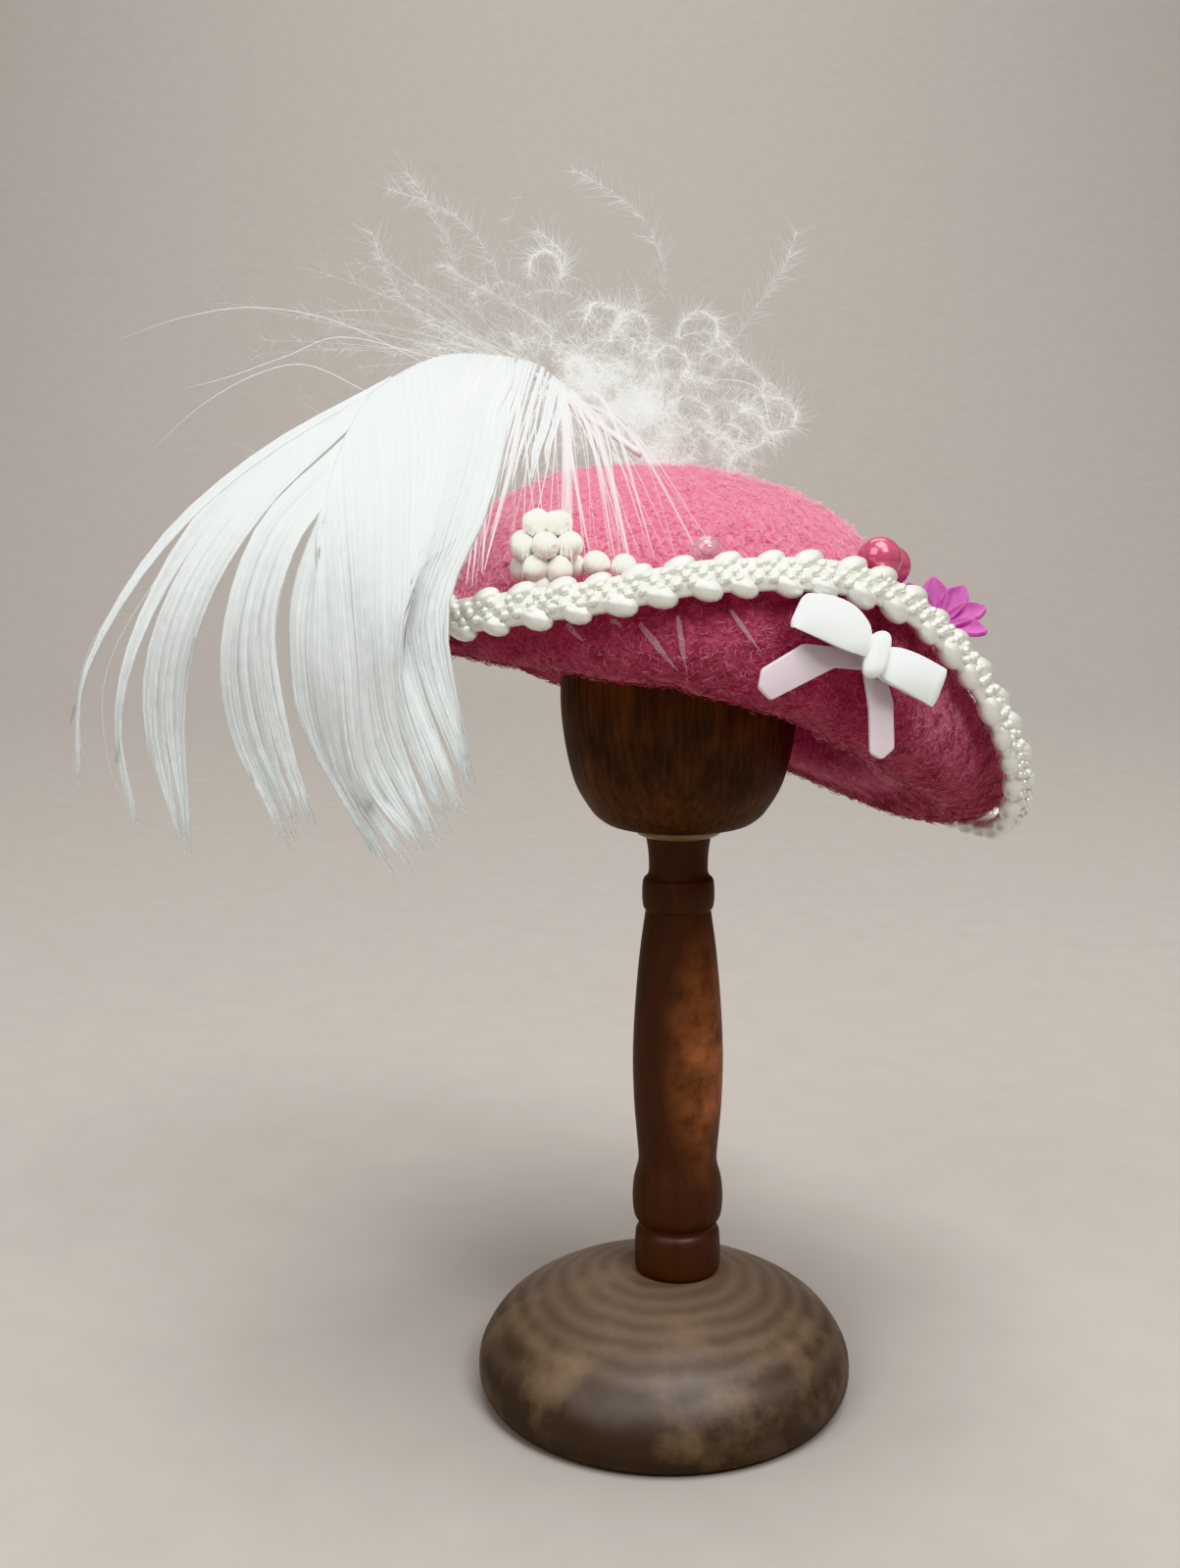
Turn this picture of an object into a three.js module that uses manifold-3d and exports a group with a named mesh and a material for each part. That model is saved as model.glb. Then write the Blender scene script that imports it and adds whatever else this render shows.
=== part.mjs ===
import * as THREE from "three";
import { mergeVertices } from "three/addons/utils/BufferGeometryUtils.js";
import Module from "manifold-3d";

// A doll's felt hat, cocked up on its near side, resting tilted on a small turned wooden hat stand.
// Millimetres, +Z up. The origin is the centre of the stand's underside and the trimmed side faces -Y.

const GAP = 0.3;

// The stand's three turned profiles, from the bottom up. The stem is glued a little off the foot's centre.
const STEM_X = 1.1;
const BASE_PROFILE = [
  { radius: 13.4, height: 0 },
  { radius: 14.2, height: 0.5 },
  { radius: 14.6, height: 1.8 },
  { radius: 14.3, height: 3.6 },
  { radius: 12.8, height: 5.8 },
  { radius: 10.4, height: 7.4 },
  { radius: 7.6, height: 8.6 },
  { radius: 4.8, height: 9.4 },
];
const STEM_PROFILE = [
  { radius: 3.3, height: 9.4 + GAP },
  { radius: 3.3, height: 12.8 },
  { radius: 3, height: 13.3 },
  { radius: 3.35, height: 14 },
  { radius: 3.5, height: 16 },
  { radius: 3.05, height: 18.5 },
  { radius: 3.35, height: 22.5 },
  { radius: 3.48, height: 27 },
  { radius: 3.2, height: 32.5 },
  { radius: 2.5, height: 38.3 },
  { radius: 2.7, height: 38.9 },
  { radius: 2.7, height: 40.7 },
  { radius: 2.26, height: 41.5 },
  { radius: 2.53, height: 44.6 },
];
const HEAD_PROFILE = [
  { radius: 4.9, height: 44.6 + GAP },
  { radius: 5.7, height: 45.2 },
  { radius: 6.7, height: 46.3 },
  { radius: 7.9, height: 48.5 },
  { radius: 8.65, height: 52 },
  { radius: 8.85, height: 55.5 },
  { radius: 8.4, height: 60 },
  { radius: 6.9, height: 64 },
  { radius: 4.2, height: 67.2 },
  { radius: 1.6, height: 68.7 },
];
const TURNED_SIDES = 32;

// The felt: one moulded sheet. The hat leans down to the right and to the far side.
const WALL = 1.6;
const CROWN_HEIGHT = 17.6;
const CROWN_SQUARENESS = 2.45;
const CROWN_FILLET = 1.5;
const HAT_SEAT = new THREE.Vector3(1.6, 0, 53.7);
const HAT_ROLL = THREE.MathUtils.degToRad(11);
const HAT_PITCH = THREE.MathUtils.degToRad(-10);
const FELT_STEPS = { around: 72, crown: 6, fillet: 2, brim: 5 };

// One row for each direction round the hat: 0 is its right end, 90 its far side, 180 its left end and 270
// its near side. The brim bends from the fold at the crown past the belly to the edge, the middle line of
// the braid. Heights are from the hat's own base plane.
const HAT_SECTIONS = [
  { azimuth: 0, crown: 16, fold: -1.4, belly: 20.6, bellyHeight: -4.5, edge: 23.2, edgeHeight: -1.7 },
  { azimuth: 30, crown: 15.2, fold: -1.4, belly: 21, bellyHeight: -4.2, edge: 23.2, edgeHeight: -1 },
  { azimuth: 65, crown: 14, fold: 0.2, belly: 20.5, bellyHeight: -0.8, edge: 21.4, edgeHeight: 2.6 },
  { azimuth: 100, crown: 13.8, fold: 1.6, belly: 19.5, bellyHeight: 1.4, edge: 20.6, edgeHeight: 4.6 },
  { azimuth: 140, crown: 17.6, fold: 3.2, belly: 20, bellyHeight: 3.6, edge: 20.8, edgeHeight: 6 },
  { azimuth: 180, crown: 20, fold: 2.4, belly: 21.8, bellyHeight: 2, edge: 22, edgeHeight: 3 },
  { azimuth: 215, crown: 17, fold: 1.6, belly: 20, bellyHeight: 1, edge: 20.6, edgeHeight: 2.5 },
  { azimuth: 245, crown: 14.2, fold: 1.4, belly: 18.8, bellyHeight: 1, edge: 18.6, edgeHeight: 3.7 },
  { azimuth: 270, crown: 13.8, fold: 1.4, belly: 18.6, bellyHeight: 1.2, edge: 17.4, edgeHeight: 6.5 },
  { azimuth: 298, crown: 14.2, fold: 0.6, belly: 19, bellyHeight: 0.6, edge: 17.2, edgeHeight: 8 },
  { azimuth: 322, crown: 15, fold: -0.6, belly: 20.2, bellyHeight: -1, edge: 18.5, edgeHeight: 5.4 },
  { azimuth: 342, crown: 15.8, fold: -1.2, belly: 20.7, bellyHeight: -3.2, edge: 21.4, edgeHeight: 1 },
];

// The braid is a flat plait with a scalloped outline, sewn on the brim's underside along its edge.
const BRAID = { halfWidth: 1.6, halfNotch: 1.3, halfThickness: 0.9, scallops: 44, sectionSides: 6 };
const FELT_PAST_BRAID_MIDDLE = 0.9;

// White beads in rings, from the bottom of the cluster up, and the two beads beside it.
const BEAD_RADIUS = 1.0;
const CLUSTER_CENTRE = new THREE.Vector3(-8.4, -12.2, 66.0);
const BEAD_RINGS = [
  { height: -2.9, ring: 0.9, count: 3, turn: 20 },
  { height: -1.5, ring: 1.6, count: 6, turn: 0 },
  { height: 0, ring: 1.75, count: 6, turn: 30 },
  { height: 1.5, ring: 1, count: 4, turn: 45 },
];
const LOOSE_BEADS = [
  { x: -5.1, y: -12.6, z: 64.9 },
  { x: -3.4, y: -12.9, z: 64.6 },
];

const PEARLS = [
  { name: "pearl_front", x: 2.2, y: -12.5, z: 65.5, radius: 1.1 },
  { name: "pearl_side", x: 13.6, y: -13.3, z: 65, radius: 1.5 },
  { name: "pearl_back", x: 15.4, y: -7, z: 64.4, radius: 1.5 },
];

// The bow lies on the cocked brim. Its outlines are drawn in its own plane from the middle of the knot.
const BOW_CENTRE = new THREE.Vector3(12.2, -17.1, 58.9);
const BOW_TURN = THREE.MathUtils.degToRad(22);
const BOW_LEAN = THREE.MathUtils.degToRad(-6);
const BOW_PARTS = [
  {
    name: "left loop",
    depth: 0.3,
    thickness: 1.4,
    outline: [[-4.3, 3.9], [-5.5, 1.8], [-1.7, 0], [-0.3, 0.3], [-0.5, 1.4], [-2.3, 3.3]],
  },
  {
    name: "right loop",
    depth: 0.3,
    thickness: 1.4,
    outline: [[0.3, -0.2], [1.2, 0.3], [5.2, -1.1], [4, -3.4], [1, -2.1], [0.1, -1.2]],
  },
  {
    name: "left tail",
    depth: -0.3,
    thickness: 0.9,
    outline: [[-0.6, 0.1], [-4.6, 0.9], [-8, -0.7], [-8.2, -1.8], [-7.4, -2.6], [-2.3, -0.6]],
  },
  {
    name: "right tail",
    depth: -0.3,
    thickness: 0.9,
    outline: [[-0.3, -0.6], [0.1, -3.4], [-0.2, -6.3], [0.6, -6.7], [1.6, -6.1], [1.8, -3], [1, -0.6]],
  },
  {
    name: "knot",
    depth: 0.5,
    thickness: 1.7,
    outline: [[-0.6, 1], [0.2, 1.5], [1, 0.5], [0.6, -0.6], [-0.3, -1.4], [-1.1, -0.5]],
  },
];

// The flower is a cup of pointed petals round a small eye. It nods towards the near side, and its short
// stalk leans back to the crown.
const FLOWER_CENTRE = new THREE.Vector3(18.9, -6.2, 60.1);
const FLOWER = { nod: 45, lean: 10, eye: 1 };
const STALK = { radius: 0.5, length: 2.8, lean: 60 };
const PETALS = { count: 9, length: 3.7, width: 1.5, thickness: 0.6, rise: 25 };

// The feather's shaft, from its foot on the crown to the start of the vane.
const SHAFT_RADIUS = 0.55;
const SHAFT_POINTS = [[-1.2, -1.5, 72.3], [-6.3, -4.6, 76.6], [-11.8, -8.5, 77.9], [-16.5, -12, 77]];

// The vane has parted into locks. Each runs from the ridge over its bend and down its fall to the tip.
const LOCK = { thickness: 1.3, rootShare: 0.7, steps: 8, sides: 6 };
const PETAL = { rootShare: 0.3, steps: 4, sides: 4 };
const LOCKS = [
  {
    width: 2.2,
    ridge: [-17.4, -12, 77],
    bend: [-27.7, -15, 71.5],
    fall: [-35.7, -15, 63.4],
    tip: [-40.3, -13, 52.9],
  },
  {
    width: 4.2,
    ridge: [-18.1, -12.5, 76.6],
    bend: [-27.6, -16, 69.6],
    fall: [-33.2, -16.5, 60.9],
    tip: [-32.7, -14, 47],
  },
  {
    width: 4.4,
    ridge: [-19.3, -13.5, 75.9],
    bend: [-25.2, -17.5, 67.1],
    fall: [-28.2, -18, 57.9],
    tip: [-26.1, -16, 48.2],
  },
  {
    width: 4.4,
    ridge: [-20, -14.5, 75.1],
    bend: [-23, -18.5, 67.1],
    fall: [-24.3, -19, 57.9],
    tip: [-20.7, -17.5, 47.6],
  },
  {
    width: 5.2,
    ridge: [-18.2, -14, 76.2],
    bend: [-19.9, -19, 65.9],
    fall: [-20.7, -19, 56],
    tip: [-18.1, -18, 46.9],
  },
  {
    width: 5.2,
    ridge: [-15.3, -11.5, 77.3],
    bend: [-16.5, -18, 65.9],
    fall: [-17.6, -18.5, 57.2],
    tip: [-15.4, -17.5, 47.8],
  },
  {
    width: 4,
    ridge: [-12.2, -9, 77.9],
    bend: [-13.2, -15, 69.6],
    fall: [-15.5, -17.5, 60.9],
    tip: [-13.7, -17, 51.3],
  },
];

// The downy base of the feather: rounded lumps on the crown behind the shaft.
const DOWN_LUMPS = [
  { x: -5.5, y: 3.4, z: 75.8, radius: 4.2 },
  { x: 1, y: 4.6, z: 76.8, radius: 5.2 },
  { x: 5.2, y: 4.8, z: 75.4, radius: 4.2 },
  { x: -1.5, y: 4.2, z: 80.8, radius: 3.8 },
];

const wasm = await Module();
wasm.setup();

const group = new THREE.Group();

function addPiece(name, geometry, color, roughness) {
  const mesh = new THREE.Mesh(geometry, new THREE.MeshStandardMaterial({ color, roughness }));
  mesh.name = name;
  group.add(mesh);
}

function toSolid(geometry) {
  const plain = geometry.index ? geometry.toNonIndexed() : geometry;
  const bare = new THREE.BufferGeometry().setAttribute("position", plain.getAttribute("position"));
  const merged = mergeVertices(bare, 1e-4);
  return new wasm.Manifold(
    new wasm.Mesh({
      numProp: 3,
      vertProperties: merged.attributes.position.array,
      triVerts: new Uint32Array(merged.index.array),
    }),
  );
}

// Several overlapping geometries joined into one solid.
function join(geometries) {
  const solid = geometries.map(toSolid).reduce((a, b) => a.add(b));
  const mesh = solid.getMesh();
  return new THREE.BufferGeometry()
    .setAttribute("position", new THREE.BufferAttribute(mesh.vertProperties, 3))
    .setIndex(new THREE.BufferAttribute(mesh.triVerts, 1));
}

// A closed skin over rings of points. Without end points the last ring runs on into the first.
function skin(rings, ends) {
  const sides = rings[0].length;
  const points = rings.flat();
  const triangles = [];
  const spans = ends ? rings.length - 1 : rings.length;
  for (let i = 0; i < spans; i++) {
    const next = (i + 1) % rings.length;
    for (let j = 0; j < sides; j++) {
      const k = (j + 1) % sides;
      triangles.push(i * sides + j, next * sides + j, next * sides + k);
      triangles.push(i * sides + j, next * sides + k, i * sides + k);
    }
  }
  if (ends) {
    const last = (rings.length - 1) * sides;
    points.push(...ends);
    for (let j = 0; j < sides; j++) {
      const k = (j + 1) % sides;
      triangles.push(points.length - 2, j, k);
      triangles.push(points.length - 1, last + k, last + j);
    }
  }
  const geometry = new THREE.BufferGeometry().setFromPoints(points);
  geometry.setIndex(triangles);
  return faceOut(geometry);
}

// The signed volume of the triangles tells which way they face.
function faceOut(geometry) {
  const at = (n) => new THREE.Vector3().fromBufferAttribute(geometry.attributes.position, n);
  const index = geometry.index.array;
  let volume = 0;
  for (let i = 0; i < index.length; i += 3) {
    volume += at(index[i]).dot(at(index[i + 1]).cross(at(index[i + 2])));
  }
  if (volume < 0) {
    for (let i = 0; i < index.length; i += 3) {
      [index[i + 1], index[i + 2]] = [index[i + 2], index[i + 1]];
    }
  }
  return geometry;
}

function turned(profile, x) {
  const first = profile[0];
  const last = profile[profile.length - 1];
  const line = [
    new THREE.Vector2(0, first.height),
    ...profile.map((row) => new THREE.Vector2(row.radius, row.height)),
    new THREE.Vector2(0, last.height),
  ];
  return new THREE.LatheGeometry(line, TURNED_SIDES).rotateX(Math.PI / 2).translate(x, 0, 0);
}

addPiece("stand_base", turned(BASE_PROFILE, 0), 0x5a4630, 0.7);
addPiece("stand_stem", turned(STEM_PROFILE, STEM_X), 0x5a3018, 0.5);
addPiece("stand_head", turned(HEAD_PROFILE, STEM_X), 0x2a1610, 0.6);

// A column of the section table at any azimuth, as a smooth curve through its rows.
function sectionValue(column, azimuth) {
  const rows = HAT_SECTIONS;
  const count = rows.length;
  const row = (n) => rows[((n % count) + count) % count];
  const angle = (n) => row(n).azimuth + 360 * Math.floor(n / count);
  let i = 0;
  while (i + 1 < count && angle(i + 1) <= azimuth) {
    i++;
  }
  const slope = (n) => (row(n + 1)[column] - row(n - 1)[column]) / (angle(n + 1) - angle(n - 1));
  const span = angle(i + 1) - angle(i);
  const t = (azimuth - angle(i)) / span;
  return (
    row(i)[column] * (1 + 2 * t) * (1 - t) ** 2 +
    slope(i) * span * t * (1 - t) ** 2 +
    row(i + 1)[column] * t * t * (3 - 2 * t) +
    slope(i + 1) * span * t * t * (t - 1)
  );
}

// The felt's upper surface in one direction, from near the crown's top out past the braid's middle line,
// with the braid's middle and the directions along and across the brim there. A point is radius and height.
function hatSection(azimuth) {
  const value = (column) => sectionValue(column, azimuth);
  const crown = value("crown");
  const fold = value("fold");
  const line = [];
  for (let i = 1; i <= FELT_STEPS.crown; i++) {
    const t = ((i / FELT_STEPS.crown) * Math.PI) / 2;
    const r = crown * Math.sin(t) ** (2 / CROWN_SQUARENESS);
    const rise = (CROWN_HEIGHT - CROWN_FILLET - fold) * Math.max(Math.cos(t), 0) ** (2 / CROWN_SQUARENESS);
    line.push(new THREE.Vector2(r, fold + CROWN_FILLET + rise));
  }
  for (let i = 1; i <= FELT_STEPS.fillet; i++) {
    const t = ((i / FELT_STEPS.fillet) * Math.PI) / 2;
    const r = crown + CROWN_FILLET * (1 - Math.cos(t));
    line.push(new THREE.Vector2(r, fold + CROWN_FILLET * (1 - Math.sin(t))));
  }
  const belly = new THREE.Vector2(value("belly"), value("bellyHeight"));
  const edge = new THREE.Vector2(value("edge"), value("edgeHeight"));
  const along = edge.clone().sub(belly).normalize();
  const across = new THREE.Vector2(along.y, -along.x);
  const start = line[line.length - 1];
  const end = edge.clone().addScaledVector(along, FELT_PAST_BRAID_MIDDLE);
  for (let i = 1; i <= FELT_STEPS.brim; i++) {
    const t = i / FELT_STEPS.brim;
    line.push(
      new THREE.Vector2()
        .addScaledVector(start, (1 - t) ** 2)
        .addScaledVector(belly, 2 * t * (1 - t))
        .addScaledVector(end, t * t),
    );
  }
  const middle = edge.addScaledVector(across, WALL + GAP + BRAID.halfThickness);
  return { line, middle, along, across };
}

// The underside follows the upper line one wall's thickness below it.
function underside(line, endDirection) {
  return line.map((point, i) => {
    const before = line[Math.max(i - 1, 0)];
    const along = i + 1 < line.length ? line[i + 1].clone().sub(before).normalize() : endDirection;
    return new THREE.Vector2(point.x + along.y * WALL, point.y - along.x * WALL);
  });
}

function atAzimuth(point, azimuth) {
  const angle = THREE.MathUtils.degToRad(azimuth);
  return new THREE.Vector3(point.x * Math.cos(angle), point.x * Math.sin(angle), point.y);
}

function tiltHat(geometry) {
  const tilt = new THREE.Matrix4().makeRotationFromEuler(new THREE.Euler(HAT_PITCH, HAT_ROLL, 0, "XYZ"));
  return geometry.applyMatrix4(tilt.setPosition(HAT_SEAT));
}

function feltBody() {
  const columns = [];
  for (let i = 0; i < FELT_STEPS.around; i++) {
    const azimuth = (360 * i) / FELT_STEPS.around;
    const { line, along } = hatSection(azimuth);
    columns.push([...line, ...underside(line, along).reverse()].map((point) => atAzimuth(point, azimuth)));
  }
  const rings = columns[0].map((_, i) => columns.map((column) => column[i]));
  const top = new THREE.Vector3(0, 0, CROWN_HEIGHT);
  const inside = new THREE.Vector3(0, 0, CROWN_HEIGHT - WALL);
  return tiltHat(skin(rings, [top, inside]));
}

addPiece("felt_body", feltBody(), 0xe0608c, 0.95);

// Each scallop has one wide and one narrow section.
function brimBraid() {
  const rings = [];
  for (let i = 0; i < 2 * BRAID.scallops; i++) {
    const azimuth = (180 * i) / BRAID.scallops;
    const { middle, along, across } = hatSection(azimuth);
    const halfWidth = i % 2 ? BRAID.halfNotch : BRAID.halfWidth;
    const ring = [];
    for (let j = 0; j < BRAID.sectionSides; j++) {
      const t = (2 * Math.PI * j) / BRAID.sectionSides;
      const point = middle
        .clone()
        .addScaledVector(along, halfWidth * Math.cos(t))
        .addScaledVector(across, BRAID.halfThickness * Math.sin(t));
      ring.push(atAzimuth(point, azimuth));
    }
    rings.push(ring);
  }
  return tiltHat(skin(rings));
}

addPiece("brim_braid", brimBraid(), 0xf4f4ee, 0.4);

function ball(centre, radius, detail) {
  return new THREE.IcosahedronGeometry(radius, detail).translate(centre.x, centre.y, centre.z);
}

function beadCluster() {
  const beads = LOOSE_BEADS.map((bead) => ball(bead, BEAD_RADIUS, 1));
  for (const { height, ring, count, turn } of BEAD_RINGS) {
    for (let i = 0; i < count; i++) {
      const angle = THREE.MathUtils.degToRad(turn + (360 * i) / count);
      const offset = new THREE.Vector3(ring * Math.cos(angle), ring * Math.sin(angle), height);
      beads.push(ball(offset.add(CLUSTER_CENTRE), BEAD_RADIUS, 1));
    }
  }
  return join(beads);
}

addPiece("bead_cluster", beadCluster(), 0xf0ede4, 0.35);
for (const pearl of PEARLS) {
  addPiece(pearl.name, ball(pearl, pearl.radius, 2), 0xd8607e, 0.2);
}

function bow() {
  const slabs = BOW_PARTS.map(({ depth, thickness, outline }) => {
    const shape = new THREE.Shape(outline.map(([x, y]) => new THREE.Vector2(x, y)));
    const slab = new THREE.ExtrudeGeometry(shape, { depth: thickness, bevelEnabled: false });
    return slab.translate(0, 0, depth);
  });
  const turn = new THREE.Euler(Math.PI / 2 + BOW_LEAN, 0, BOW_TURN, "ZXY");
  const facing = new THREE.Matrix4().makeRotationFromEuler(turn);
  return join(slabs).applyMatrix4(facing.setPosition(BOW_CENTRE));
}

addPiece("bow", bow(), 0xe6eae6, 0.35);

// A blade: a swept lens that starts at a share of its width, widens and closes at its tip.
function blade(path, width, thickness, { rootShare, steps, sides }, sideways) {
  const rings = [];
  for (let i = 0; i < steps; i++) {
    const t = i / steps;
    const swell = Math.min(1, rootShare + 2 * t) * Math.min(1, 2.4 * (1 - t)) ** 0.7;
    const tangent = path.getTangent(t);
    const face = new THREE.Vector3().crossVectors(tangent, sideways).normalize();
    const side = new THREE.Vector3().crossVectors(face, tangent).normalize();
    const ring = [];
    for (let j = 0; j < sides; j++) {
      const angle = (2 * Math.PI * j) / sides;
      ring.push(
        path
          .getPoint(t)
          .addScaledVector(side, (width / 2) * swell * Math.cos(angle))
          .addScaledVector(face, (thickness / 2) * Math.sqrt(swell) * Math.sin(angle)),
      );
    }
    rings.push(ring);
  }
  return skin(rings, [path.getPoint(0), path.getPoint(1)]);
}

function flower() {
  const pieces = [new THREE.IcosahedronGeometry(FLOWER.eye, 1)];
  const rise = THREE.MathUtils.degToRad(PETALS.rise);
  for (let i = 0; i < PETALS.count; i++) {
    const angle = (2 * Math.PI * (i + 0.5)) / PETALS.count;
    const out = new THREE.Vector3(Math.cos(angle), Math.sin(angle), 0);
    const tip = out.clone().multiplyScalar(PETALS.length * Math.cos(rise));
    tip.z = PETALS.length * Math.sin(rise);
    const sideways = new THREE.Vector3(-out.y, out.x, 0);
    const path = new THREE.LineCurve3(new THREE.Vector3(), tip);
    pieces.push(blade(path, PETALS.width, PETALS.thickness, PETAL, sideways));
  }
  const bloom = join(pieces)
    .rotateX(THREE.MathUtils.degToRad(FLOWER.nod))
    .rotateY(THREE.MathUtils.degToRad(FLOWER.lean));
  const stalk = new THREE.CylinderGeometry(STALK.radius, STALK.radius, STALK.length, 8)
    .rotateX(Math.PI / 2)
    .translate(0, 0, -STALK.length / 2)
    .rotateY(THREE.MathUtils.degToRad(STALK.lean));
  return join([bloom, stalk]).translate(...FLOWER_CENTRE);
}

addPiece("flower", flower(), 0xc94ba8, 0.6);

function curve(points) {
  return new THREE.CatmullRomCurve3(points.map(([x, y, z]) => new THREE.Vector3(x, y, z)));
}

function shaft() {
  const path = curve(SHAFT_POINTS);
  const rings = [];
  for (let i = 0; i <= 8; i++) {
    const tangent = path.getTangent(i / 8);
    const side = new THREE.Vector3().crossVectors(tangent, new THREE.Vector3(0, 0, 1)).normalize();
    const up = new THREE.Vector3().crossVectors(side, tangent);
    const ring = [];
    for (let j = 0; j < 6; j++) {
      const angle = (2 * Math.PI * j) / 6;
      ring.push(
        path
          .getPoint(i / 8)
          .addScaledVector(side, SHAFT_RADIUS * Math.cos(angle))
          .addScaledVector(up, SHAFT_RADIUS * Math.sin(angle)),
      );
    }
    rings.push(ring);
  }
  return skin(rings, [path.getPoint(0), path.getPoint(1)]);
}

function feather() {
  const sideways = new THREE.Vector3(1, 0, 0);
  const locks = LOCKS.map(({ width, ridge, bend, fall, tip }) =>
    blade(curve([ridge, bend, fall, tip]), width, LOCK.thickness, LOCK, sideways),
  );
  return join([shaft(), ...locks]);
}

addPiece("feather", feather(), 0xf2f4f4, 0.5);

addPiece("down_plume", join(DOWN_LUMPS.map((lump) => ball(lump, lump.radius, 1))), 0xf6eef0, 0.9);

export default group;
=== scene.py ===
import math

import bpy
import numpy as np
from mathutils import Matrix, Vector


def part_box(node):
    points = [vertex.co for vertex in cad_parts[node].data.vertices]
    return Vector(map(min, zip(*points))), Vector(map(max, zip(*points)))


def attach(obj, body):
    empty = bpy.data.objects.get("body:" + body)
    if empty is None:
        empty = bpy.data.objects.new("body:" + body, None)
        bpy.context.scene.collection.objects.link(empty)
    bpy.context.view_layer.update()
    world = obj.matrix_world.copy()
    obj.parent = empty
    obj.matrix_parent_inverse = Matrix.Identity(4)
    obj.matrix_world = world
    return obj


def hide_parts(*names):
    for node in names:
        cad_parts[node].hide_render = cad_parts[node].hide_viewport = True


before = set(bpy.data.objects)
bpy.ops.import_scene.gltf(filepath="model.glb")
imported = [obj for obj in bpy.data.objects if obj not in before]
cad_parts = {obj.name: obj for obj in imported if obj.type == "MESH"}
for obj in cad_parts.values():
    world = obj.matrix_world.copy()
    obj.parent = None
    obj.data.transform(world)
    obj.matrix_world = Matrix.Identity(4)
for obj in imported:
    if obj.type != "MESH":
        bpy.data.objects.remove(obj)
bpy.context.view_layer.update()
MM = 0.001


# The floor is a wide sheet of pale matt card under the stand, in the light of large soft lamps.
# The camera stands close in front of the hat, level with its crown and looking slightly down.
def linear(hex_colour):
    """An sRGB hex colour as linear red, green, blue and alpha."""
    shares = [int(hex_colour[i : i + 2], 16) / 255 for i in (1, 3, 5)]
    return [c / 12.92 if c <= 0.04045 else ((c + 0.055) / 1.055) ** 2.4 for c in shares] + [1.0]


def blank_material(name):
    material = bpy.data.materials.new(name)
    material.use_nodes = True
    material.node_tree.nodes.clear()
    return material


def add_node(material, kind, inputs, **settings):
    """Adds a node. Each input is a value, or the output of an earlier node that is linked to it."""
    node = material.node_tree.nodes.new(kind)
    for name, value in settings.items():
        setattr(node, name, value)
    for name, value in inputs.items():
        if isinstance(value, bpy.types.NodeSocket):
            material.node_tree.links.new(value, node.inputs[name])
        else:
            node.inputs[name].default_value = value
    return node


CARD_SIZE = 4.0
CARD_MIDDLE = (0, -0.8, 0)
CARD_HEIGHT = 2.5
CARD_BEND = 0.7
bpy.ops.object.select_all(action="DESELECT")
bpy.ops.mesh.primitive_plane_add(size=CARD_SIZE, location=CARD_MIDDLE)
floor = bpy.context.object
floor.name = "card_sweep"
bpy.ops.object.mode_set(mode="EDIT")
bpy.ops.mesh.select_all(action="DESELECT")
bpy.ops.object.mode_set(mode="OBJECT")
for vertex in floor.data.vertices:
    vertex.select = vertex.co.y > 0
bpy.ops.object.mode_set(mode="EDIT")
bpy.ops.mesh.extrude_region_move(TRANSFORM_OT_translate={"value": (0, 0, CARD_HEIGHT)})
bpy.ops.object.mode_set(mode="OBJECT")
bpy.ops.object.transform_apply(location=True, rotation=True, scale=True)
curve_up = floor.modifiers.new("curve_up", "BEVEL")
curve_up.width = CARD_BEND
curve_up.segments = 24
bpy.ops.object.modifier_apply(modifier=curve_up.name)
bpy.ops.object.shade_smooth()
# Matt card: pale warm grey with a faint fibre mottle.
card = blank_material("matt_card_pale")
place = add_node(card, "ShaderNodeTexCoord", {})
mottle = add_node(
    card, "ShaderNodeTexNoise", {"Vector": place.outputs["Object"], "Scale": 1 / (6 * MM), "Detail": 5.0}
)
tone = add_node(
    card,
    "ShaderNodeMixRGB",
    {"Fac": mottle.outputs["Fac"], "Color1": linear("#9C9690"), "Color2": linear("#A49E98")},
)
shader = add_node(card, "ShaderNodeBsdfPrincipled", {"Base Color": tone.outputs["Color"], "Roughness": 0.9})
add_node(card, "ShaderNodeOutputMaterial", {"Surface": shader.outputs["BSDF"]})
floor.data.materials.append(card)

world = bpy.data.worlds.new("soft_room_light")
bpy.context.scene.world = world
world.use_nodes = True
world.node_tree.nodes["Background"].inputs["Color"].default_value = linear("#D6D2CE")
world.node_tree.nodes["Background"].inputs["Strength"].default_value = 0.5
bpy.context.scene.view_settings.view_transform = "Khronos PBR Neutral"

LAMPS = [
    {"name": "top_lamp", "at": (0.05, -0.10, 0.50), "to": (0, 0, 0.055), "size": 0.25, "watts": 2.25},
    {"name": "left_lamp", "at": (-0.28, -0.32, 0.42), "to": (0, 0, 0.055), "size": 0.30, "watts": 1.1},
    {"name": "right_lamp", "at": (0.18, -0.30, 0.42), "to": (0, 0, 0.055), "size": 0.16, "watts": 1.3},
    {"name": "back_lamp", "at": (0, 0.45, 0.90), "to": (0, 1.2, 0.30), "size": 0.60, "watts": 9.0},
]
for lamp in LAMPS:
    bpy.ops.object.light_add(type="AREA", location=lamp["at"])
    light = bpy.context.object
    light.name = lamp["name"]
    light.data.size = lamp["size"]
    light.data.energy = lamp["watts"]
    light.rotation_euler = (Vector(lamp["to"]) - light.location).to_track_quat("-Z", "Y").to_euler()

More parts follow.
